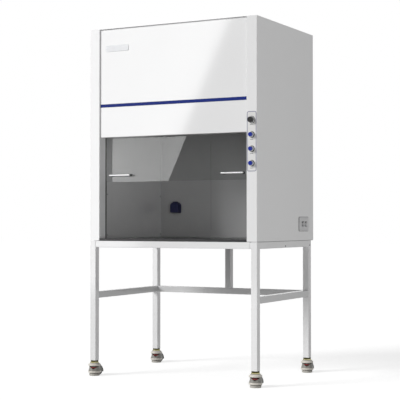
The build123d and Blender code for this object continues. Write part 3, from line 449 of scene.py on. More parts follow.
WHITE = PowderCoat(
    "white powder coat", (0.835, 0.835, 0.837), shade=0.985, gloss=(0.05, 0.08), specular=1.0, patch=2.5,
    grain=1400.0, relief=0.000008,
)
RAIL_WHITE = PowderCoat(
    "white tube coat", (0.83, 0.83, 0.832), shade=0.98, gloss=(0.07, 0.11), specular=0.8, patch=3.5,
    grain=1400.0, relief=0.00001,
)
# The lower rails' coat is the tube coat made darker: painted shade under the cabinet.
PAINTED_SHADE_RAIL_WHITE = PowderCoat(
    "tube coat with painted shade", (0.66, 0.66, 0.662), shade=0.98, gloss=(0.07, 0.11), specular=0.7, patch=3.5,
    grain=1400.0, relief=0.00001,
)
SEAL_WHITE = Finish("white seal", (0.6, 0.6, 0.605), shade=0.95, specular=0.4, grain=1400.0, relief=0.00001)
SIDE_LINER = Finish(
    "pale grey laminate", (0.54, 0.54, 0.542), shade=0.96, gloss=(0.01, 0.03), specular=1.0, patch=5.0,
    grain=1500.0, relief=0.000002,
)
LINER = Finish(
    "grey laminate", (0.4, 0.4, 0.402), shade=0.96, gloss=(0.2, 0.28), patch=5.0, grain=1500.0,
    relief=0.000002,
)
LINER_JOINT = Finish(
    "dark laminate joint", (0.2, 0.2, 0.2), shade=0.9, specular=0.4, patch=20.0, grain=1500.0,
    relief=0.000004,
)
WORKTOP = Finish(
    "dark phenolic board", (0.03, 0.03, 0.032), shade=0.8, gloss=(0.24, 0.38), specular=0.4, patch=30.0,
    grain=1300.0, relief=0.00001,
)
GLASS = ClearGlass("clear glass", (0.735, 0.742, 0.737), gloss=(0.0, 0.02), patch=6.0)
BLUE_BAND = Finish(
    "blue vinyl", linear(33, 49, 122), shade=0.92, gloss=(0.2, 0.28), specular=0.08, patch=20.0,
    grain=1200.0, relief=0.000004,
)
BADGE = Finish(
    "white badge plate", (0.82, 0.83, 0.85), shade=0.97, gloss=(0.1, 0.18), patch=30.0, grain=1500.0,
    relief=0.000004,
)
CHROME = Finish(
    "polished chrome", (0.83, 0.84, 0.85), shade=0.96, gloss=(0.05, 0.1), metallic=1.0, patch=60.0,
    grain=2500.0, relief=0.000002,
)
BAR_STEEL = Finish(
    "satin bar steel", (0.66, 0.66, 0.665), shade=0.9, gloss=(0.2, 0.3), metallic=1.0, patch=60.0,
    grain=2500.0, relief=0.000004,
)
BLACK_RUBBER = Finish(
    "black rubber", (0.018, 0.018, 0.019), shade=0.7, gloss=(0.45, 0.6), specular=0.4, patch=60.0,
    grain=2500.0, relief=0.00001,
)
# Also the band across the top of each socket outlet, where the black is painted shade.
BLACK_PLASTIC_AND_SHADE = Finish(
    "black moulded plastic", (0.016, 0.016, 0.018), shade=0.8, gloss=(0.2, 0.32), patch=60.0,
    grain=2600.0, relief=0.000008,
)
BLUE_PLASTIC = Finish(
    "blue moulded plastic", linear(20, 44, 150), shade=0.9, gloss=(0.12, 0.2), specular=0.6, patch=90.0,
    grain=2600.0, relief=0.000004,
)
SOCKET_BLUE = Finish(
    "dark blue plastic", linear(14, 20, 70), shade=0.85, gloss=(0.3, 0.42), patch=60.0, grain=2600.0,
    relief=0.00001,
)
OVERLAY = Finish(
    "pale overlay film", (0.7, 0.695, 0.685), shade=0.97, patch=40.0, grain=3000.0, relief=0.000003,
)
INK = Finish(
    "printed ink", linear(104, 106, 140), shade=0.85, gloss=(0.4, 0.5), specular=0.4, patch=200.0,
    grain=3000.0, relief=0.000002,
)
# A grey line round the side socket plate: painted shade at the plate's edge.
PLATE_EDGE_SHADE = Finish(
    "painted shade at plate edge", linear(118, 118, 120), shade=0.85, gloss=(0.4, 0.5), specular=0.4, patch=100.0,
    grain=3000.0, relief=0.000002,
)
# Also the socket outlets' slots, where the dark is painted shade in the openings.
DARK_INK_AND_SHADE = Finish(
    "dark printed ink and painted shade", linear(58, 60, 70), shade=0.85, gloss=(0.4, 0.5), specular=0.4, patch=200.0,
    grain=3000.0, relief=0.000002,
)
OPAL = Finish("opal diffuser", (0.82, 0.83, 0.8), shade=0.97, patch=20.0, relief=0.00001)
STEEL = Finish(
    "plain steel", (0.5, 0.51, 0.52), shade=0.85, gloss=(0.28, 0.42), metallic=1.0, patch=25.0,
    grain=1800.0, relief=0.00001, run=Direction.ALONG_X,
)
SCREW_STEEL = Finish(
    "dark screw steel", (0.2, 0.2, 0.205), shade=0.8, gloss=(0.3, 0.42), metallic=1.0, patch=300.0,
    grain=3000.0, relief=0.000006,
)
ALUMINIUM = Finish(
    "rolled aluminium", (0.7, 0.71, 0.72), shade=0.9, gloss=(0.25, 0.38), metallic=1.0, patch=18.0,
    grain=1500.0, relief=0.000008, run=Direction.ALONG_X,
)
GUIDE = Finish(
    "black polyethylene", (0.03, 0.03, 0.032), shade=0.8, gloss=(0.4, 0.55), specular=0.4, patch=40.0,
    grain=2000.0, relief=0.00001,
)
# The dark olive band above the joint is painted shadow under the leg's tube.
ZINC = ZincPlate(
    "yellow zinc", (0.54, 0.51, 0.32), gloss=(0.25, 0.38), metallic=1.0, patch=45.0,
    grain=1500.0, relief=0.00001,
)
CASTING = ZonedCasting(
    "painted casting", linear(140, 138, 132), shade=0.85, gloss=(0.3, 0.42), patch=55.0, grain=1100.0,
    relief=0.00004, rims_and_shade=linear(216, 211, 202), bands=((0.0185, 0.0295), (0.0605, 0.0765)),
)
ARM_CASTING = Finish(
    "grey casting", linear(134, 132, 127), shade=0.85, gloss=(0.3, 0.42), patch=55.0, grain=1100.0,
    relief=0.00004,
)
FOOT_RUBBER = Finish(
    "grey foot rubber", linear(186, 183, 176), shade=0.85, gloss=(0.5, 0.65), specular=0.4, patch=60.0,
    grain=1300.0, relief=0.00005,
)
# The thumbwheel's dark upper band is painted shade, inside the housing's window under the cap.
SHADED_RED_PLASTIC = ZonedCasting(
    "red moulded plastic", linear(140, 40, 38), shade=0.75, gloss=(0.25, 0.38), patch=60.0, grain=2000.0,
    relief=0.00001, rims_and_shade=linear(40, 12, 12), bands=((0.0535, 0.07),),
)
WHEEL_NYLON = Finish(
    "black nylon", (0.025, 0.025, 0.026), shade=0.8, gloss=(0.4, 0.55), specular=0.4, patch=50.0,
    grain=1500.0,
)
WIRE = WireRope("stranded wire", (0.6, 0.6, 0.62), gloss=(0.3, 0.3), metallic=1.0, relief=0.0003)
SOCKET_GREY = Finish(
    "grey socket plate", linear(212, 212, 213), shade=0.96, gloss=(0.25, 0.35), patch=40.0, grain=2400.0,
    relief=0.000005,
)


def put_on(finish: Finish, nodes: Iterable[str]) -> None:
    """Give carried-over nodes a finish.

    Args:
        finish: The finish to show.
        nodes: The nodes' names.
    """
    for name in nodes:
        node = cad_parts[name]
        node.data.materials.clear()
        node.data.materials.append(finish.material())


class Facing(Enum):
    """The way that a piece faces, as the directions across and up it."""

    FRONT = ((1.0, 0.0, 0.0), (0.0, 0.0, 1.0))
    RIGHT = ((0.0, 1.0, 0.0), (0.0, 0.0, 1.0))
    UP = ((1.0, 0.0, 0.0), (0.0, 1.0, 0.0))


@dataclass(frozen=True)
class Seat:
    """A local frame on the object: where a piece sits and the way that it faces."""

    origin: Point
    facing: Facing

    def world(self, points: np.ndarray) -> np.ndarray:
        """Carry local points to the object's frame: origin + x across + y up + z out.

        Out is across crossed with up.

        Args:
            points: Local points, with three numbers in the last axis.

        Returns:
            The points in the object's frame.
        """
        across, up = self.facing.value
        basis = np.array([across, up, np.cross(across, up)])
        return points @ basis + np.array(self.origin)


@dataclass
class Shape:
    """Surfaces gathered as whole arrays, to become one piece."""

    points: list[np.ndarray] = field(default_factory=list)
    faces: list[np.ndarray] = field(default_factory=list)
    count: int = 0

    def grid(self, points: np.ndarray, round_columns: bool = False, round_rows: bool = False) -> None:
        """Join a grid of points with quads, wrapped round where it closes on itself.

        Args:
            points: Rows by columns of points.
            round_columns: Whether the last column meets the first.
            round_rows: Whether the last row meets the first.
        """
        rows, columns = points.shape[:2]
        row, column = np.meshgrid(
            np.arange(rows if round_rows else rows - 1),
            np.arange(columns if round_columns else columns - 1),
            indexing="ij",
        )
        here, below, beside = row * columns, (row + 1) % rows * columns, (column + 1) % columns
        corners = (here + column, here + beside, below + beside, below + column)
        self.points.append(points.reshape(-1, 3))
        self.faces.append(np.stack(corners, -1).reshape(-1, 4) + self.count)
        self.count += rows * columns

    def turned(self, profile: np.ndarray, seat: Seat, segments: int) -> None:
        """Turn a profile about the seat's out axis: (r cos a, r sin a, h).

        Args:
            profile: Radius and height of each row, from the axis back to the axis.
            seat: Where the axis stands.
            segments: Steps round the axis.
        """
        angle = np.linspace(0.0, 2.0 * math.pi, segments, endpoint=False)
        radius, height = profile[:, :1], profile[:, 1:]
        local = np.stack([radius * np.cos(angle), radius * np.sin(angle), height + 0.0 * angle], -1)
        self.grid(seat.world(local), round_columns=True)

    def ribbon(self, line: np.ndarray, seat: Seat, width: float, height: float, closed: bool = False) -> None:
        """Carry a rectangle along a flat line: line + s width n, at heights 0 and height.

        Args:
            line: Points of the line in the seat's plane.
            seat: The plane that it lies on.
            width: Width of the ribbon.
            height: How far it stands out.
            closed: Whether the line meets itself.
        """
        ahead = np.roll(line, -1, 0) - line
        behind = line - np.roll(line, 1, 0)
        if not closed:
            ahead[-1], behind[0] = behind[-1], ahead[0]
        ahead /= np.linalg.norm(ahead, axis=1, keepdims=True)
        behind /= np.linalg.norm(behind, axis=1, keepdims=True)
        tangent = ahead + behind
        tangent /= np.linalg.norm(tangent, axis=1, keepdims=True)
        reach = 1.0 / np.maximum(1.0 / LONGEST_MITRE, np.sum(tangent * ahead, axis=1, keepdims=True))
        normal = np.stack([tangent[:, 1], -tangent[:, 0]], -1) * reach * width / 2.0
        sides = np.array([[1.0, 0.0], [1.0, height], [-1.0, height], [-1.0, 0.0]])
        flat = line[:, None, :] + normal[:, None, :] * sides[None, :, :1]
        local = np.concatenate([flat, np.broadcast_to(sides[None, :, 1:], (*flat.shape[:2], 1))], -1)
        start = self.count
        self.grid(seat.world(local), round_columns=True, round_rows=closed)
        if not closed:
            self.caps(start, len(line))

    def caps(self, start: int, sections: int) -> None:
        """Close both ends of a run of four-cornered sections.

        Args:
            start: The first point of the first section.
            sections: How many sections there are.
        """
        corner = np.arange(4)
        last = start + 4 * (sections - 1)
        self.faces.append(np.stack([start + corner[::-1], last + corner]))

    def bar(self, places: np.ndarray, sections: np.ndarray, origin: Point) -> None:
        """Join rectangles that stand across Y: corner k of section i is (x, y_i, z).

        Args:
            places: The Y of each section.
            sections: The low X, high X, low Z and high Z of each section.
            origin: The point that all of them are measured from.
        """
        x_low, x_high, z_low, z_high = sections.T
        x = np.stack([x_low, x_high, x_high, x_low], -1)
        z = np.stack([z_low, z_low, z_high, z_high], -1)
        y = np.broadcast_to(places[:, None], x.shape)
        start = self.count
        self.grid(np.stack([x, y, z], -1) + np.array(origin), round_columns=True)
        self.caps(start, len(places))

    def piece(self, name: str, finish: Finish, body: str, slot: str, stands_for: Iterable[str] = ()) -> None:
        """Make the gathered surfaces one closed piece that rides on a body.

        Args:
            name: The piece's name.
            finish: What it is made of.
            body: The body that it moves with.
            slot: Not used.
            stands_for: The nodes that it replaces.
        """
        mesh = bpy.data.meshes.new(name)
        mesh.from_pydata(np.concatenate(self.points).tolist(), [], np.concatenate(self.faces).tolist())
        work = bmesh.new()
        work.from_mesh(mesh)
        bmesh.ops.remove_doubles(work, verts=work.verts, dist=WELD)
        bmesh.ops.recalc_face_normals(work, faces=work.faces)
        work.to_mesh(mesh)
        work.free()
        mesh.polygons.foreach_set("use_smooth", np.ones(len(mesh.polygons), bool))
        mesh.set_sharp_from_angle(angle=math.radians(SHARP_ANGLE))
        mesh.materials.append(finish.material())
        made = bpy.data.objects.new(name, mesh)
        bpy.context.scene.collection.objects.link(made)
        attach(made, body)
        if stands_for:
            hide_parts(*stands_for)
        LOG.info("%s: %d faces on %s", name, len(mesh.polygons), body)


def rounded_rectangle(width: float, height: float, radius: float, steps: int = 8) -> np.ndarray:
    """The outline of a rounded rectangle: quarter circles about the four corner centres.

    Args:
        width: Full width.
        height: Full height.
        radius: Corner radius.
        steps: Points on each corner.

    Returns:
        The points, counter-clockwise.
    """
    turn = np.linspace(0.0, math.pi / 2.0, steps)
    quarter = np.arange(4) * math.pi / 2.0
    angle = (quarter[:, None] + turn[None, :]).ravel()
    centre_x = np.repeat(np.array([1, -1, -1, 1]) * (width / 2.0 - radius), steps)
    centre_y = np.repeat(np.array([1, 1, -1, -1]) * (height / 2.0 - radius), steps)
    return np.stack([centre_x + radius * np.cos(angle), centre_y + radius * np.sin(angle)], -1)


class Assembly:
    """A sub-assembly: its nodes are dressed first, and then the scene's own pieces are built."""

    def dress(self) -> None:
        """Put the finishes on the sub-assembly's nodes."""

    def build(self) -> None:
        """Make the pieces that the scene adds, where there are any."""


@dataclass
class Stand(Assembly):
    """The welded square-tube stand."""

    def dress(self) -> None:
        """Coat the tubes; the low ones take a darker copy of the coat, painted shade under the cabinet."""
        put_on(RAIL_WHITE, ("stand_legs", "stand_top_rails"))
        put_on(PAINTED_SHADE_RAIL_WHITE, ("stand_lower_rails",))


@dataclass
class Cabinet(Assembly):
    """The folded sheet-steel cabinet, its band and its blank badge."""

    sheets: tuple[str, ...] = (
        "column_left",
        "column_right",
        "front_panel",
        "top_panel",
        "rear_panel",
        "exhaust_collar",
        "blower_enclosure",
    )
    seal_width: float = 0.0016
    seal_height: float = 0.0006
    seal_gap: float = 0.0004
    seal_sink: float = 0.0008
    seal_drop: float = 0.003

    def dress(self) -> None:
        """Coat the sheets, and finish the band and the badge."""
        put_on(WHITE, self.sheets)
        put_on(BLUE_BAND, ("front_stripe",))
        put_on(BADGE, ("badge_plate",))
        put_on(BLACK_PLASTIC_AND_SHADE, ("mains_gland",))

    def build(self) -> None:
        """Close the joint round the front panel with a seal, a ribbon along its outline."""
        low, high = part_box("front_panel")
        stripe_low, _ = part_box("front_stripe")
        top = high.z - self.seal_drop
        middle = (0.0, stripe_low.y + self.seal_sink, (low.z + top) / 2.0)
        half, rise = high.x + self.seal_gap, (top - low.z) / 2.0
        line = np.array([[-half, -rise], [-half, rise], [half, rise], [half, -rise]])
        seal = Shape()
        seal.ribbon(line, Seat(middle, Facing.FRONT), self.seal_width, self.seal_height)
        seal.piece("panel_seal", SEAL_WHITE, "cabinet", "white_paint")


@dataclass
class Chamber(Assembly):
    """The working chamber: board, liners, baffle, ceiling and lamp."""

    joint_x: float = -0.124
    joint_width: float = 0.0022
    joint_height: float = 0.0002
    joint_end: float = 0.05

    def dress(self) -> None:
        """Finish the linings and the lamp."""
        put_on(SIDE_LINER, ("side_liners",))
        put_on(LINER, ("ceiling_panel", "baffle"))
        put_on(WORKTOP, ("worktop",))
        put_on(WHITE, ("lamp_housing",))
        put_on(OPAL, ("lamp_diffuser",))

    def build(self) -> None:
        """Run the upright joint of the back lining, a flat ribbon that ends short of its edges."""
        low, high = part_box("baffle")
        middle = (self.joint_x, low.y, (low.z + high.z) / 2.0)
        rise = (high.z - low.z) / 2.0 - self.joint_end
        line = np.array([[0.0, -rise], [0.0, rise]])
        joint = Shape()
        joint.ribbon(line, Seat(middle, Facing.FRONT), self.joint_width, self.joint_height)
        joint.piece("baffle_joint", LINER_JOINT, "cabinet", "liner")


@dataclass
class Sash(Assembly):
    """The frameless sliding pane with its two bar handles."""

    bar_length: float = 0.145
    post_inset: float = 0.009
    washer_radius: float = 0.0086
    washer_depth: float = 0.005
    washer_crown: float = 0.85
    washer_wall: float = 0.7
    washer_steps: int = 28

    def dress(self) -> None:
        """Finish the pane, its rail and the handles, and let light pass the pane."""
        put_on(GLASS, ("sash_glass",))
        put_on(ALUMINIUM, ("sash_top_rail",))
        put_on(BAR_STEEL, ("sash_handles",))
        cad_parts["sash_glass"].visible_shadow = False

    def build(self) -> None:
        """Set a black washer under each post of the handles.

        The washer is turned: up a straight wall, in over a slope to the crown, and across.
        """
        glass_low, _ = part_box("sash_glass")
        low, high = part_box("sash_handles")
        edge, depth = self.washer_radius, self.washer_depth
        crown = self.washer_crown * edge
        wall = self.washer_wall * depth
        profile = np.array([[0.0, 0.0], [edge, 0.0], [edge, wall], [crown, depth], [0.0, depth]])
        shape = Shape()
        for side, outer in ((-1.0, -low.x), (1.0, high.x)):
            for inset in (self.post_inset, self.bar_length - self.post_inset):
                seat = Seat((side * (outer - inset), glass_low.y, (low.z + high.z) / 2.0), Facing.FRONT)
                shape.turned(profile, seat, self.washer_steps)
        shape.piece("handle_washers", BLACK_RUBBER, "sash", "black_plastic")


@dataclass
class Suspension(Assembly):
    """The sash's guides, pulleys, cables and weights inside the columns."""

    def dress(self) -> None:
        """Finish what guides and balances the sash."""
        put_on(GUIDE, ("sash_guides",))
        put_on(WHEEL_NYLON, ("pulley_left", "pulley_right"))
        put_on(STEEL, ("counterweight_left", "counterweight_right", "pulley_brackets"))
        put_on(WIRE, ("sash_cables",))


@dataclass
class Blower(Assembly):
    """The centrifugal blower above the ceiling."""

    def dress(self) -> None:
        """Finish the scroll, the wheel and the motor."""
        put_on(ALUMINIUM, ("blower_scroll", "impeller"))
        put_on(STEEL, ("blower_motor",))


@dataclass
class ControlStrip(Assembly):
    """The overlay on the right stile, with its knob and three push buttons."""

    buttons: tuple[str, ...] = ("button_upper", "button_middle", "button_lower")
    border_inset: float = 0.003
    border_width: float = 0.0034
    border_corner: float = 0.0095
    ink_height: float = 0.00008
    base_radius: float = 0.0215
    base_inner: float = 0.0197
    base_height: float = 0.002
    base_cut: Span = (0.0006, 0.0006)
    grip_radius: float = 0.0163
    skirt_radius: float = 0.0195
    skirt_inner: float = 0.0191
    skirt_low: float = 0.0008
    skirt_root: float = 0.0058
    skirt_top: float = 0.0078
    skirt_cut: Span = (0.0012, 0.001)
    knob_steps: int = 56
    gasket_radius: float = 0.0186
    gasket_inner: float = 0.0162
    gasket_and_edge_shade_height: float = 0.003
    gasket_cut: Span = (0.0007, 0.0012)
    gasket_steps: int = 48
    mark_drop: float = 0.028
    mark_lengths: tuple[float, ...] = (0.0045, 0.003, 0.006, 0.003)
    mark_gap: float = 0.0012
    mark_height: float = 0.0032
    pointer_ends: Span = (0.0164, 0.0183)
    pointer_width: float = 0.0016
    pointer_sink: float = 0.0001

    def dress(self) -> None:
        """Finish the overlay, the bezels, the buttons and the knob."""
        put_on(OVERLAY, ("control_overlay",))
        put_on(CHROME, ("button_bezels",))
        put_on(BLACK_PLASTIC_AND_SHADE, ("speed_knob", "switch_blocks"))
        put_on(BLUE_PLASTIC, self.buttons)

    def build(self) -> None:
        """Print the border, set the rings, and mark each control and the knob's way."""
        low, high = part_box("control_overlay")
        width, height = (size - 2 * self.border_inset for size in (high.x - low.x, high.z - low.z))
        outline = rounded_rectangle(width, height, self.border_corner)
        middle = self.centre("control_overlay", low.y)
        border = Shape()
        border.ribbon(outline, Seat(middle, Facing.FRONT), self.border_width, self.ink_height, closed=True)
        border.piece("overlay_border", INK, "cabinet", "overlay")
        self.marks(low.y)
        self.rings(low.y)
        self.pointer(low.y)

    @staticmethod
    def centre(node: str, face: float) -> Point:
        """The middle of a node, moved to a face that looks to the front."""
        low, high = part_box(node)
        return ((low.x + high.x) / 2.0, face, (low.z + high.z) / 2.0)

    def marks(self, face: float) -> None:
        """Print a row of plain dashes under each control.

        Args:
            face: The overlay's front face.
        """
        marks = Shape()
        for node in ("speed_knob", *self.buttons):
            x, y, z = self.centre(node, face)
            seat = Seat((x, y, z - self.mark_drop), Facing.FRONT)
            start = -(sum(self.mark_lengths) + self.mark_gap * (len(self.mark_lengths) - 1)) / 2.0
            for length in self.mark_lengths:
                dash = np.array([[start, 0.0], [start + length, 0.0]])
                marks.ribbon(dash, seat, self.mark_height, self.ink_height)
                start += length + self.mark_gap
        marks.piece("overlay_marks", DARK_INK_AND_SHADE, "cabinet", "overlay")

    @staticmethod
    def ring(inner: float, outer: float, height: float, cut: Span) -> np.ndarray:
        """The section of a flat ring whose outer top edge is cut off.

        Args:
            inner: Inner radius.
            outer: Outer radius.
            height: How far it stands out.
            cut: What the cut takes off the radius and off the height.

        Returns:
            The radius and height of each point, back to the first.
        """
        shoulder = [[outer, height - cut[1]], [outer - cut[0], height]]
        return np.array([[inner, 0.0], [outer, 0.0], *shoulder, [inner, height], [inner, 0.0]])

    def rings(self, face: float) -> None:
        """Set a black ring round each control's foot and a chrome skirt on the knob.

        Args:
            face: The overlay's front face.
        """
        gaskets = Shape()
        ring = self.ring(self.gasket_inner, self.gasket_radius, self.gasket_and_edge_shade_height, self.gasket_cut)
        for node in self.buttons:
            gaskets.turned(ring, Seat(self.centre(node, face), Facing.FRONT), self.gasket_steps)
        seat = Seat(self.centre("speed_knob", face), Facing.FRONT)
        ring = self.ring(self.base_inner, self.base_radius, self.base_height, self.base_cut)
        gaskets.turned(ring, seat, self.knob_steps)
        gaskets.piece("control_gaskets", BLACK_RUBBER, "cabinet", "black_plastic")
        root, top = [self.grip_radius, self.skirt_root], self.skirt_top
        outer, low = self.skirt_radius, self.skirt_low
        shoulder = [[outer - self.skirt_cut[0], top], [outer, top - self.skirt_cut[1]]]
        section = [root, [self.grip_radius, top], *shoulder, [outer, low], [self.skirt_inner, low], root]
        skirt = Shape()
        skirt.turned(np.array(section), seat, self.knob_steps)
        skirt.piece("knob_skirt", CHROME, "speed_knob", "handle")

    def pointer(self, face: float) -> None:
        """Print a dark pointer line on the knob's skirt.

        Args:
            face: The overlay's front face.
        """
        middle = self.centre("speed_knob", face - self.skirt_top + self.pointer_sink)
        ends = np.array([[0.0, height] for height in self.pointer_ends])
        line = Shape()
        line.ribbon(ends, Seat(middle, Facing.FRONT), self.pointer_width, 2.0 * self.ink_height)
        line.piece("knob_pointer", DARK_INK_AND_SHADE, "speed_knob", "black_plastic")


@dataclass
class WallSocket(Assembly):
    """The covered socket on the back wall of the chamber."""

    def dress(self) -> None:
        """Finish the base and its hinged cover."""
        put_on(SOCKET_BLUE, ("wall_socket_base", "wall_socket_cover"))


@dataclass
class TwinSocket(Assembly):
    """The plate with two outlets on the right side."""

    spacing: float = 0.046
    recess: float = 0.003
    corner: float = 0.0108
    edge_shade_margin: float = 0.0011
    edge_shade_width: float = 0.0024
    gasket_and_edge_shade_height: float = 0.0016
    outlet_half: float = 0.0155
    shade_rise: float = 0.0105
    shade_width: float = 0.0125
    sill_width: float = 0.002
    shade_and_sill_height: float = 0.0012
    slots: tuple[Span, ...] = ((-0.0075, 0.0022), (0.0075, 0.0022), (0.0, 0.0036))
    slot_ends: Span = (-0.011, -0.003)
    slot_height: float = 0.0008

    def dress(self) -> None:
        """Finish the plate."""
        put_on(SOCKET_GREY, ("side_socket",))

    def build(self) -> None:
        """Set painted shade round the plate, and in each outlet a top band of painted shade, a sill and
        slots.

        The plate's edge shade is a ribbon along its rounded outline. The top band and the sill are
        level ribbons as long as the outlet is wide, and the slots, painted shade in the openings,
        are upright ones.
        """
        low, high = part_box("side_socket")
        middle = (low.x, (low.y + high.y) / 2.0, (low.z + high.z) / 2.0)
        wide, tall = (size + 2.0 * self.edge_shade_margin for size in (high.y - low.y, high.z - low.z))
        outline = rounded_rectangle(wide, tall, self.corner)
        seat = Seat(middle, Facing.RIGHT)
        # A grey ribbon round the plate's outline: painted shade at its edge.
        edge_shade = Shape()
        edge_shade.ribbon(outline, seat, self.edge_shade_width, self.gasket_and_edge_shade_height, closed=True)
        edge_shade.piece("twin_edge_shade", PLATE_EDGE_SHADE, "cabinet", "black_plastic")
        dark, slots = Shape(), Shape()
        half = self.outlet_half
        for side in (-1.0, 1.0):
            place = (high.x - self.recess, middle[1] + side * self.spacing / 2.0, middle[2])
            seat = Seat(place, Facing.RIGHT)
            # A black band across the top of each outlet, painted shade under the recess's top, and a thin
            # dark sill along its foot.
            for rise, width in ((self.shade_rise, self.shade_width), (-half, self.sill_width)):
                dark.ribbon(np.array([[-half, rise], [half, rise]]), seat, width, self.shade_and_sill_height)
            # Dark slots in each outlet: painted shade in the openings.
            for x, width in self.slots:
                ends = np.array([[x, height] for height in self.slot_ends])
                slots.ribbon(ends, seat, width, self.slot_height)
        dark.piece("outlet_shade_and_sills", BLACK_PLASTIC_AND_SHADE, "cabinet", "black_plastic")
        slots.piece("outlet_slot_shade", DARK_INK_AND_SHADE, "cabinet", "black_plastic")


@dataclass
class Casters(Assembly):
    """Four levelling casters.

    Outlines are pairs of metres from the caster's axis: radius and height on the cap and the
    race, height and radius on the wall, and distance behind the axis and height on the arm.
    The window's edge is a height by the degrees from the window's middle.
    """

    corners: tuple[str, ...] = ("front_left", "rear_left", "front_right", "rear_right")
    cap: tuple[tuple[float, float], ...] = (
        (0.0, 0.0795),
        (0.0262, 0.0795),
        (0.0290, 0.0775),
        (0.0374, 0.0700),
        (0.0388, 0.0672),
        (0.0391, 0.0650),
        (0.0384, 0.0620),
        (0.0370, 0.0606),
        (0.0290, 0.0606),
        (0.0, 0.0606),
    )
    wall: tuple[tuple[float, float], ...] = (
        (0.0180, 0.0378),
        (0.0195, 0.0392),
        (0.0240, 0.0400),
        (0.0285, 0.0394),
        (0.0310, 0.0380),
        (0.0400, 0.0346),
        (0.0500, 0.0325),
        (0.0610, 0.0325),
    )
    edge: tuple[tuple[float, float], ...] = (
        (0.0, 0.0400),
        (6.0, 0.0408),
        (44.0, 0.0545),
        (60.0, 0.0560),
        (66.0, 0.0607),
        (180.0, 0.0607),
    )
    window_turn: float = 20.0
    race: tuple[tuple[float, float], ...] = (
        (0.0, 0.0785),
        (0.0250, 0.0785),
        (0.0262, 0.0797),
        (0.0262, 0.0823),
        (0.0250, 0.0835),
        (0.0, 0.0835),
    )
    thickness: float = 0.0028
    arm_top: tuple[tuple[float, float], ...] = (
        (0.0280, 0.0600),
        (0.0480, 0.0600),
        (0.0560, 0.0560),
        (0.0660, 0.0480),
        (0.0740, 0.0380),
        (0.0782, 0.0290),
        (0.0790, 0.0240),
    )
    arm_foot: tuple[tuple[float, float], ...] = ((0.0385, 0.0310), (0.0405, 0.0165))
    arm_half: float = 0.0135
    arm_plate: float = 0.0032
    arm_steps: int = 24
    arm_end_steps: int = 5
    cheek_tuck: float = 0.0002
    end_tuck: float = 0.0004
    cap_steps: int = 72
    race_steps: int = 48
    skirt_steps: tuple[int, int] = (28, 120)
    wheel_hub: float = 0.0065
    wheel_radius: float = 0.0289
    wheel_low: float = 0.0465
    wheel_high: float = 0.056
    wheel_cut: Span = (0.0019, 0.0017)
    wheel_steps: int = 160
    lobe_count: int = 10
    lobe_depth: float = 0.035

    def dress(self) -> None:
        """Finish the plates, castings, wheels, thumbwheels and feet."""
        put_on(ZINC, ("caster_mounts",))
        for corner in self.corners:
            put_on(CASTING, (f"caster_{corner}_housing",))
            put_on(WHEEL_NYLON, (f"caster_{corner}_wheel",))
            put_on(SHADED_RED_PLASTIC, (f"caster_{corner}_thumbwheel",))
            put_on(FOOT_RUBBER, (f"caster_{corner}_foot",))

    def build(self) -> None:
        """Shape each caster's shell, arm and lobed thumbwheel about its swivel axis."""
        for corner in self.corners:
            low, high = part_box(f"caster_{corner}_foot")
            origin = ((low.x + high.x) / 2.0, (low.y + high.y) / 2.0, 0.0)
            self.shell(corner, origin)
            self.arm(corner, origin)
            self.thumbwheel(corner, origin)

    def shell(self, corner: str, origin: Point) -> None:
        """A turned cap and race over a skirt whose upper edge dips to a V near the front.

        The skirt is (r(z) sin a, -r(z) cos a, z), with z running from the lip to the edge
        e(a) on the outside and back on the inside, where r is less by the thickness.

        Args:
            corner: The caster's place.
            origin: The foot of its axis.
        """
        seat = Seat(origin, Facing.UP)
        shape = Shape()
        shape.turned(np.array(self.cap), seat, self.cap_steps)
        heights, radii = np.array(self.wall).T
        rows, columns = self.skirt_steps
        angle = np.linspace(-math.pi, math.pi, columns, endpoint=False)
        degrees, edges = np.array(self.edge).T
        away = (np.degrees(angle) - self.window_turn + 180.0) % 360.0 - 180.0
        top = np.interp(np.abs(away), degrees, edges)
        climb = np.linspace(0.0, 1.0, rows)[:, None]
        z = heights[0] + climb * (top[None, :] - heights[0])
        outer = np.interp(z, heights, radii)
        rise = np.concatenate([z, z[::-1]])
        radius = np.concatenate([outer, outer[::-1] - self.thickness])
        points = np.stack([radius * np.sin(angle), -radius * np.cos(angle), rise], -1)
        shape.grid(seat.world(points), round_columns=True, round_rows=True)
        body = f"caster_{corner}_housing"
        shape.piece(f"caster_{corner}_shell", CASTING, body, "caster_cream", (body,))
        ring = Shape()
        ring.turned(np.array(self.race), seat, self.race_steps)
        ring.piece(f"caster_{corner}_race", ZINC, body, "zinc")

    def arm(self, corner: str, origin: Point) -> None:
        """The arm over the wheel: two cheeks, a cover that slopes down behind, and its end.

        Each is a bar of rectangles across Y, between the heights f(y) and h(y). Inside the
        skirt f is higher, to leave the foot room to rise.

        Args:
            corner: The caster's place.
            origin: The foot of its axis.
        """
        places, heights = np.array(self.arm_top).T
        y = np.linspace(places[0], places[-1], self.arm_steps)
        top = np.interp(y, places, heights)
        foot = np.interp(y, *np.array(self.arm_foot).T)
        flat = np.ones_like(y)
        half, plate = self.arm_half, self.arm_plate
        shape = Shape()
        for inner, outer in ((-half, plate - half), (half - plate, half)):
            cheek = np.stack([inner * flat, outer * flat, foot, top - self.cheek_tuck], -1)
            shape.bar(y, cheek, origin)
        shape.bar(y, np.stack([-half * flat, half * flat, top - plate, top], -1), origin)
        end = np.stack([-half * flat, half * flat, foot, top - self.end_tuck], -1)
        shape.bar(y[-self.arm_end_steps:], end[-self.arm_end_steps:], origin)
        shape.piece(f"caster_{corner}_arm", ARM_CASTING, f"caster_{corner}_housing", "caster_cream")

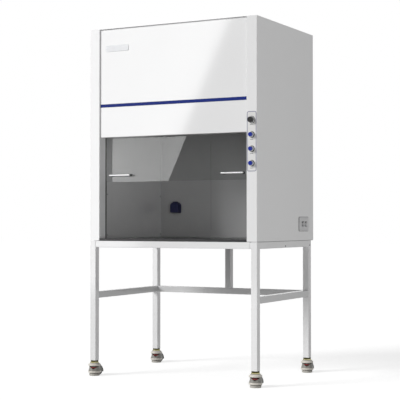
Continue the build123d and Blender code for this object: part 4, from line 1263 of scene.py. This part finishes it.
    def thumbwheel(self, corner: str, origin: Point) -> None:
        """A lobed wheel: r(a) = R (1 - d (1 - cos n a)) on a section with cut outer edges.

        Args:
            corner: The caster's place.
            origin: The foot of its axis.
        """
        hub, rim, low, high = self.wheel_hub, self.wheel_radius, self.wheel_low, self.wheel_high
        shoulder = rim - self.wheel_cut[0]
        outline = [[hub, low], [shoulder, low], [rim, low + self.wheel_cut[1]]]
        outline += [[rim, high - self.wheel_cut[1]], [shoulder, high], [hub, high]]
        section = np.array(outline)
        angle = np.linspace(0.0, 2.0 * math.pi, self.wheel_steps, endpoint=False)
        lobes = 1.0 - self.lobe_depth * (1.0 - np.cos(self.lobe_count * angle))
        radius = section[:, :1] * np.where(section[:, :1] > hub, lobes, 1.0)
        height = section[:, 1:] + 0.0 * angle
        points = np.stack([radius * np.cos(angle), radius * np.sin(angle), height], -1)
        shape = Shape()
        shape.grid(Seat(origin, Facing.UP).world(points), round_columns=True, round_rows=True)
        body = f"caster_{corner}_thumbwheel"
        shape.piece(f"caster_{corner}_lobes", SHADED_RED_PLASTIC, body, "red_plastic", (body,))


@dataclass
class Fasteners(Assembly):
    """The screws and bolts whose heads show."""

    def dress(self) -> None:
        """Finish the heads."""
        put_on(SCREW_STEEL, ("fasteners",))


@dataclass(frozen=True)
class Viewpoint:
    """The camera: its place in metres, its turn and lean in degrees, its lens in millimetres."""

    place: Point = (3.3883, -6.3487, 0.9507)
    yaw: float = 28.245
    pitch: float = 1.063
    lens: float = 103.35
    sensor: float = 36.0
    far: float = 200.0

    def build(self) -> None:
        """Set up the camera, turned about the upright axis and then leaned up by the pitch."""
        data = bpy.data.cameras.new("camera")
        data.sensor_width = self.sensor
        data.lens = self.lens
        data.clip_end = self.far
        camera = bpy.data.objects.new("camera", data)
        camera.location = self.place
        camera.rotation_euler = (math.radians(90.0 + self.pitch), 0.0, math.radians(self.yaw))
        bpy.context.scene.collection.objects.link(camera)
        bpy.context.scene.camera = camera


@dataclass
class Studio:
    """A pale floor, a soft key light and the cards that the gloss reflects."""

    floor_size: float = 80.0
    floor_shade: float = 0.62
    floor_glow: float = 0.67
    floor_roughness: float = 0.9
    ambient: float = 0.235
    key_way: Point = (-0.56, -0.7, 0.44)
    key_strength: float = 2.2
    key_angle: float = 20.0
    key_distance: float = 10.0
    fill_place: Point = (3.3, -3.9, 1.15)
    fill_aim: Point = (-0.2, 0.0, 1.1)
    fill_size: float = 1.8
    fill_power: float = 40.0
    card_light: float = 3.1
    card_distance: float = 9.0
    card_width: float = 5.0
    card_reach: float = 3.0
    card_edge: tuple[Point, Point] = ((0.386, -0.4036, 2.1329), (-0.2321, -0.4136, 0.8076))
    flag_light: float = 0.22
    flag_half: float = 7.0
    flag_back: float = 0.3

    def build(self) -> None:
        """Set the stage."""
        bpy.context.scene.view_settings.view_transform = "Standard"
        self.world()
        self.floor()
        self.lamps()
        self.cards()

    def world(self) -> None:
        """A white surround for what the camera, gloss and glass see, and a dimmer one for light."""
        world = bpy.data.worlds.new("studio")
        bpy.context.scene.world = world
        world.use_nodes = True
        tree = world.node_tree
        shown = self.seen_directly(tree)
        strength = tree.nodes.new("ShaderNodeMapRange")
        tree.links.new(shown, strength.inputs["Value"])
        strength.inputs["To Min"].default_value = self.ambient
        strength.inputs["To Max"].default_value = 1.0
        background = tree.nodes["Background"]
        background.inputs["Color"].default_value = (1.0, 1.0, 1.0, 1.0)
        tree.links.new(strength.outputs["Result"], background.inputs["Strength"])

    @staticmethod
    def seen_directly(tree: bpy.types.NodeTree) -> Socket:
        """Tell what the camera, a reflection or glass sees from what only gives light.

        Args:
            tree: The node tree to build in.

        Returns:
            One where one of the three looks at the surface, else zero.
        """
        path = tree.nodes.new("ShaderNodeLightPath")
        shown = path.outputs["Is Camera Ray"]
        for name in ("Is Glossy Ray", "Is Transmission Ray"):
            either = tree.nodes.new("ShaderNodeMath")
            either.operation = "MAXIMUM"
            tree.links.new(shown, either.inputs[0])
            tree.links.new(path.outputs[name], either.inputs[1])
            shown = either.outputs[0]
        return shown

    def floor(self) -> None:
        """A wide pale floor that keeps the object's soft shadow."""
        half = self.floor_size / 2.0
        mesh = bpy.data.meshes.new("floor")
        corners = [(-half, -half, 0.0), (half, -half, 0.0), (half, half, 0.0), (-half, half, 0.0)]
        mesh.from_pydata(corners, [], [(0, 1, 2, 3)])
        material = bpy.data.materials.new("studio floor")
        material.use_nodes = True
        tree = material.node_tree
        shader = tree.nodes["Principled BSDF"]
        shader.inputs["Base Color"].default_value = (self.floor_shade,) * 3 + (1.0,)
        shader.inputs["Roughness"].default_value = self.floor_roughness
        shader.inputs["Specular IOR Level"].default_value = 0.0
        shader.inputs["Emission Color"].default_value = (1.0, 1.0, 1.0, 1.0)
        glow = tree.nodes.new("ShaderNodeMath")
        glow.operation = "MULTIPLY"
        glow.inputs[1].default_value = self.floor_glow
        tree.links.new(self.seen_directly(tree), glow.inputs[0])
        tree.links.new(glow.outputs[0], shader.inputs["Emission Strength"])
        mesh.materials.append(material)
        made = bpy.data.objects.new("floor", mesh)
        bpy.context.scene.collection.objects.link(made)

    def lamps(self) -> None:
        """A wide distant key at the front left, and a soft fill at the front right."""
        key = bpy.data.lights.new("key", "SUN")
        key.energy = self.key_strength
        key.angle = math.radians(self.key_angle)
        self.aim(key, np.array(self.key_way) * self.key_distance, np.zeros(3))
        fill = bpy.data.lights.new("fill", "AREA")
        fill.shape = "SQUARE"
        fill.size = self.fill_size
        fill.energy = self.fill_power
        self.aim(fill, np.array(self.fill_place), np.array(self.fill_aim))

    @staticmethod
    def aim(data: bpy.types.Light, place: np.ndarray, target: np.ndarray) -> None:
        """Stand a lamp at a place and turn it to a target, out of the camera's and gloss's sight.

        Args:
            data: The lamp.
            place: Where it stands.
            target: What it points at.
        """
        toward = target - place
        lamp = bpy.data.objects.new(data.name, data)
        lamp.location = tuple(place)
        spin = math.atan2(-toward[0], toward[1])
        lean = math.atan2(toward[2], math.hypot(toward[0], toward[1]))
        lamp.rotation_euler = (math.radians(90.0) + lean, 0.0, spin)
        lamp.visible_camera = False
        lamp.visible_glossy = False
        bpy.context.scene.collection.objects.link(lamp)

    def cards(self) -> None:
        """A bright card whose straight edge shows in the gloss, and a dim flag behind it.

        Each end of the edge lies on the camera's ray to a point of the front, thrown back off
        the front: end = point + distance ray, with the ray's Y reversed.
        """
        points = np.array(self.card_edge)
        rays = (points - np.array(Viewpoint().place)) * np.array([1.0, -1.0, 1.0])
        rays /= np.linalg.norm(rays, axis=1, keepdims=True)
        top, foot = points + self.card_distance * rays
        along = (top - foot) / np.linalg.norm(top - foot)
        side = np.cross(along, rays[0])
        side *= (-1.0 if side[0] > 0 else 1.0) / np.linalg.norm(side)
        high, low = top + self.card_reach * along, foot - self.card_reach * along
        width = self.card_width * side
        self.card("bright_card", (low, high, high + width, low + width), self.card_light)
        high, low = (end + self.flag_back * rays[0] for end in (high, low))
        half = self.flag_half * side
        self.card("dim_flag", (low - half, high - half, high + half, low + half), self.flag_light)

    @staticmethod
    def card(name: str, corners: tuple[np.ndarray, ...], strength: float) -> None:
        """A flat card that only reflections see.

        Args:
            name: The card's name.
            corners: Its four corners.
            strength: How bright it looks.
        """
        mesh = bpy.data.meshes.new(name)
        mesh.from_pydata([tuple(c) for c in corners], [], [(0, 1, 2, 3)])
        material = bpy.data.materials.new(name)
        material.use_nodes = True
        tree = material.node_tree
        tree.nodes.clear()
        glow = tree.nodes.new("ShaderNodeEmission")
        glow.inputs["Strength"].default_value = strength
        end = tree.nodes.new("ShaderNodeOutputMaterial")
        tree.links.new(glow.outputs[0], end.inputs["Surface"])
        mesh.materials.append(material)
        made = bpy.data.objects.new(name, mesh)
        bpy.context.scene.collection.objects.link(made)
        made.visible_camera = False
        made.visible_diffuse = False
        made.visible_shadow = False


def main() -> None:
    """Build and dress each sub-assembly, then set the camera and the studio."""
    logging.basicConfig(level=logging.INFO, format="%(message)s")
    assemblies: tuple[Assembly, ...] = (
        Stand(),
        Cabinet(),
        Chamber(),
        Sash(),
        Suspension(),
        Blower(),
        ControlStrip(),
        WallSocket(),
        TwinSocket(),
        Casters(),
        Fasteners(),
    )
    for assembly in assemblies:
        assembly.dress()
        assembly.build()
        LOG.info("dressed %s", type(assembly).__name__)
    Viewpoint().build()
    Studio().build()


if __name__ == "__main__":
    main()
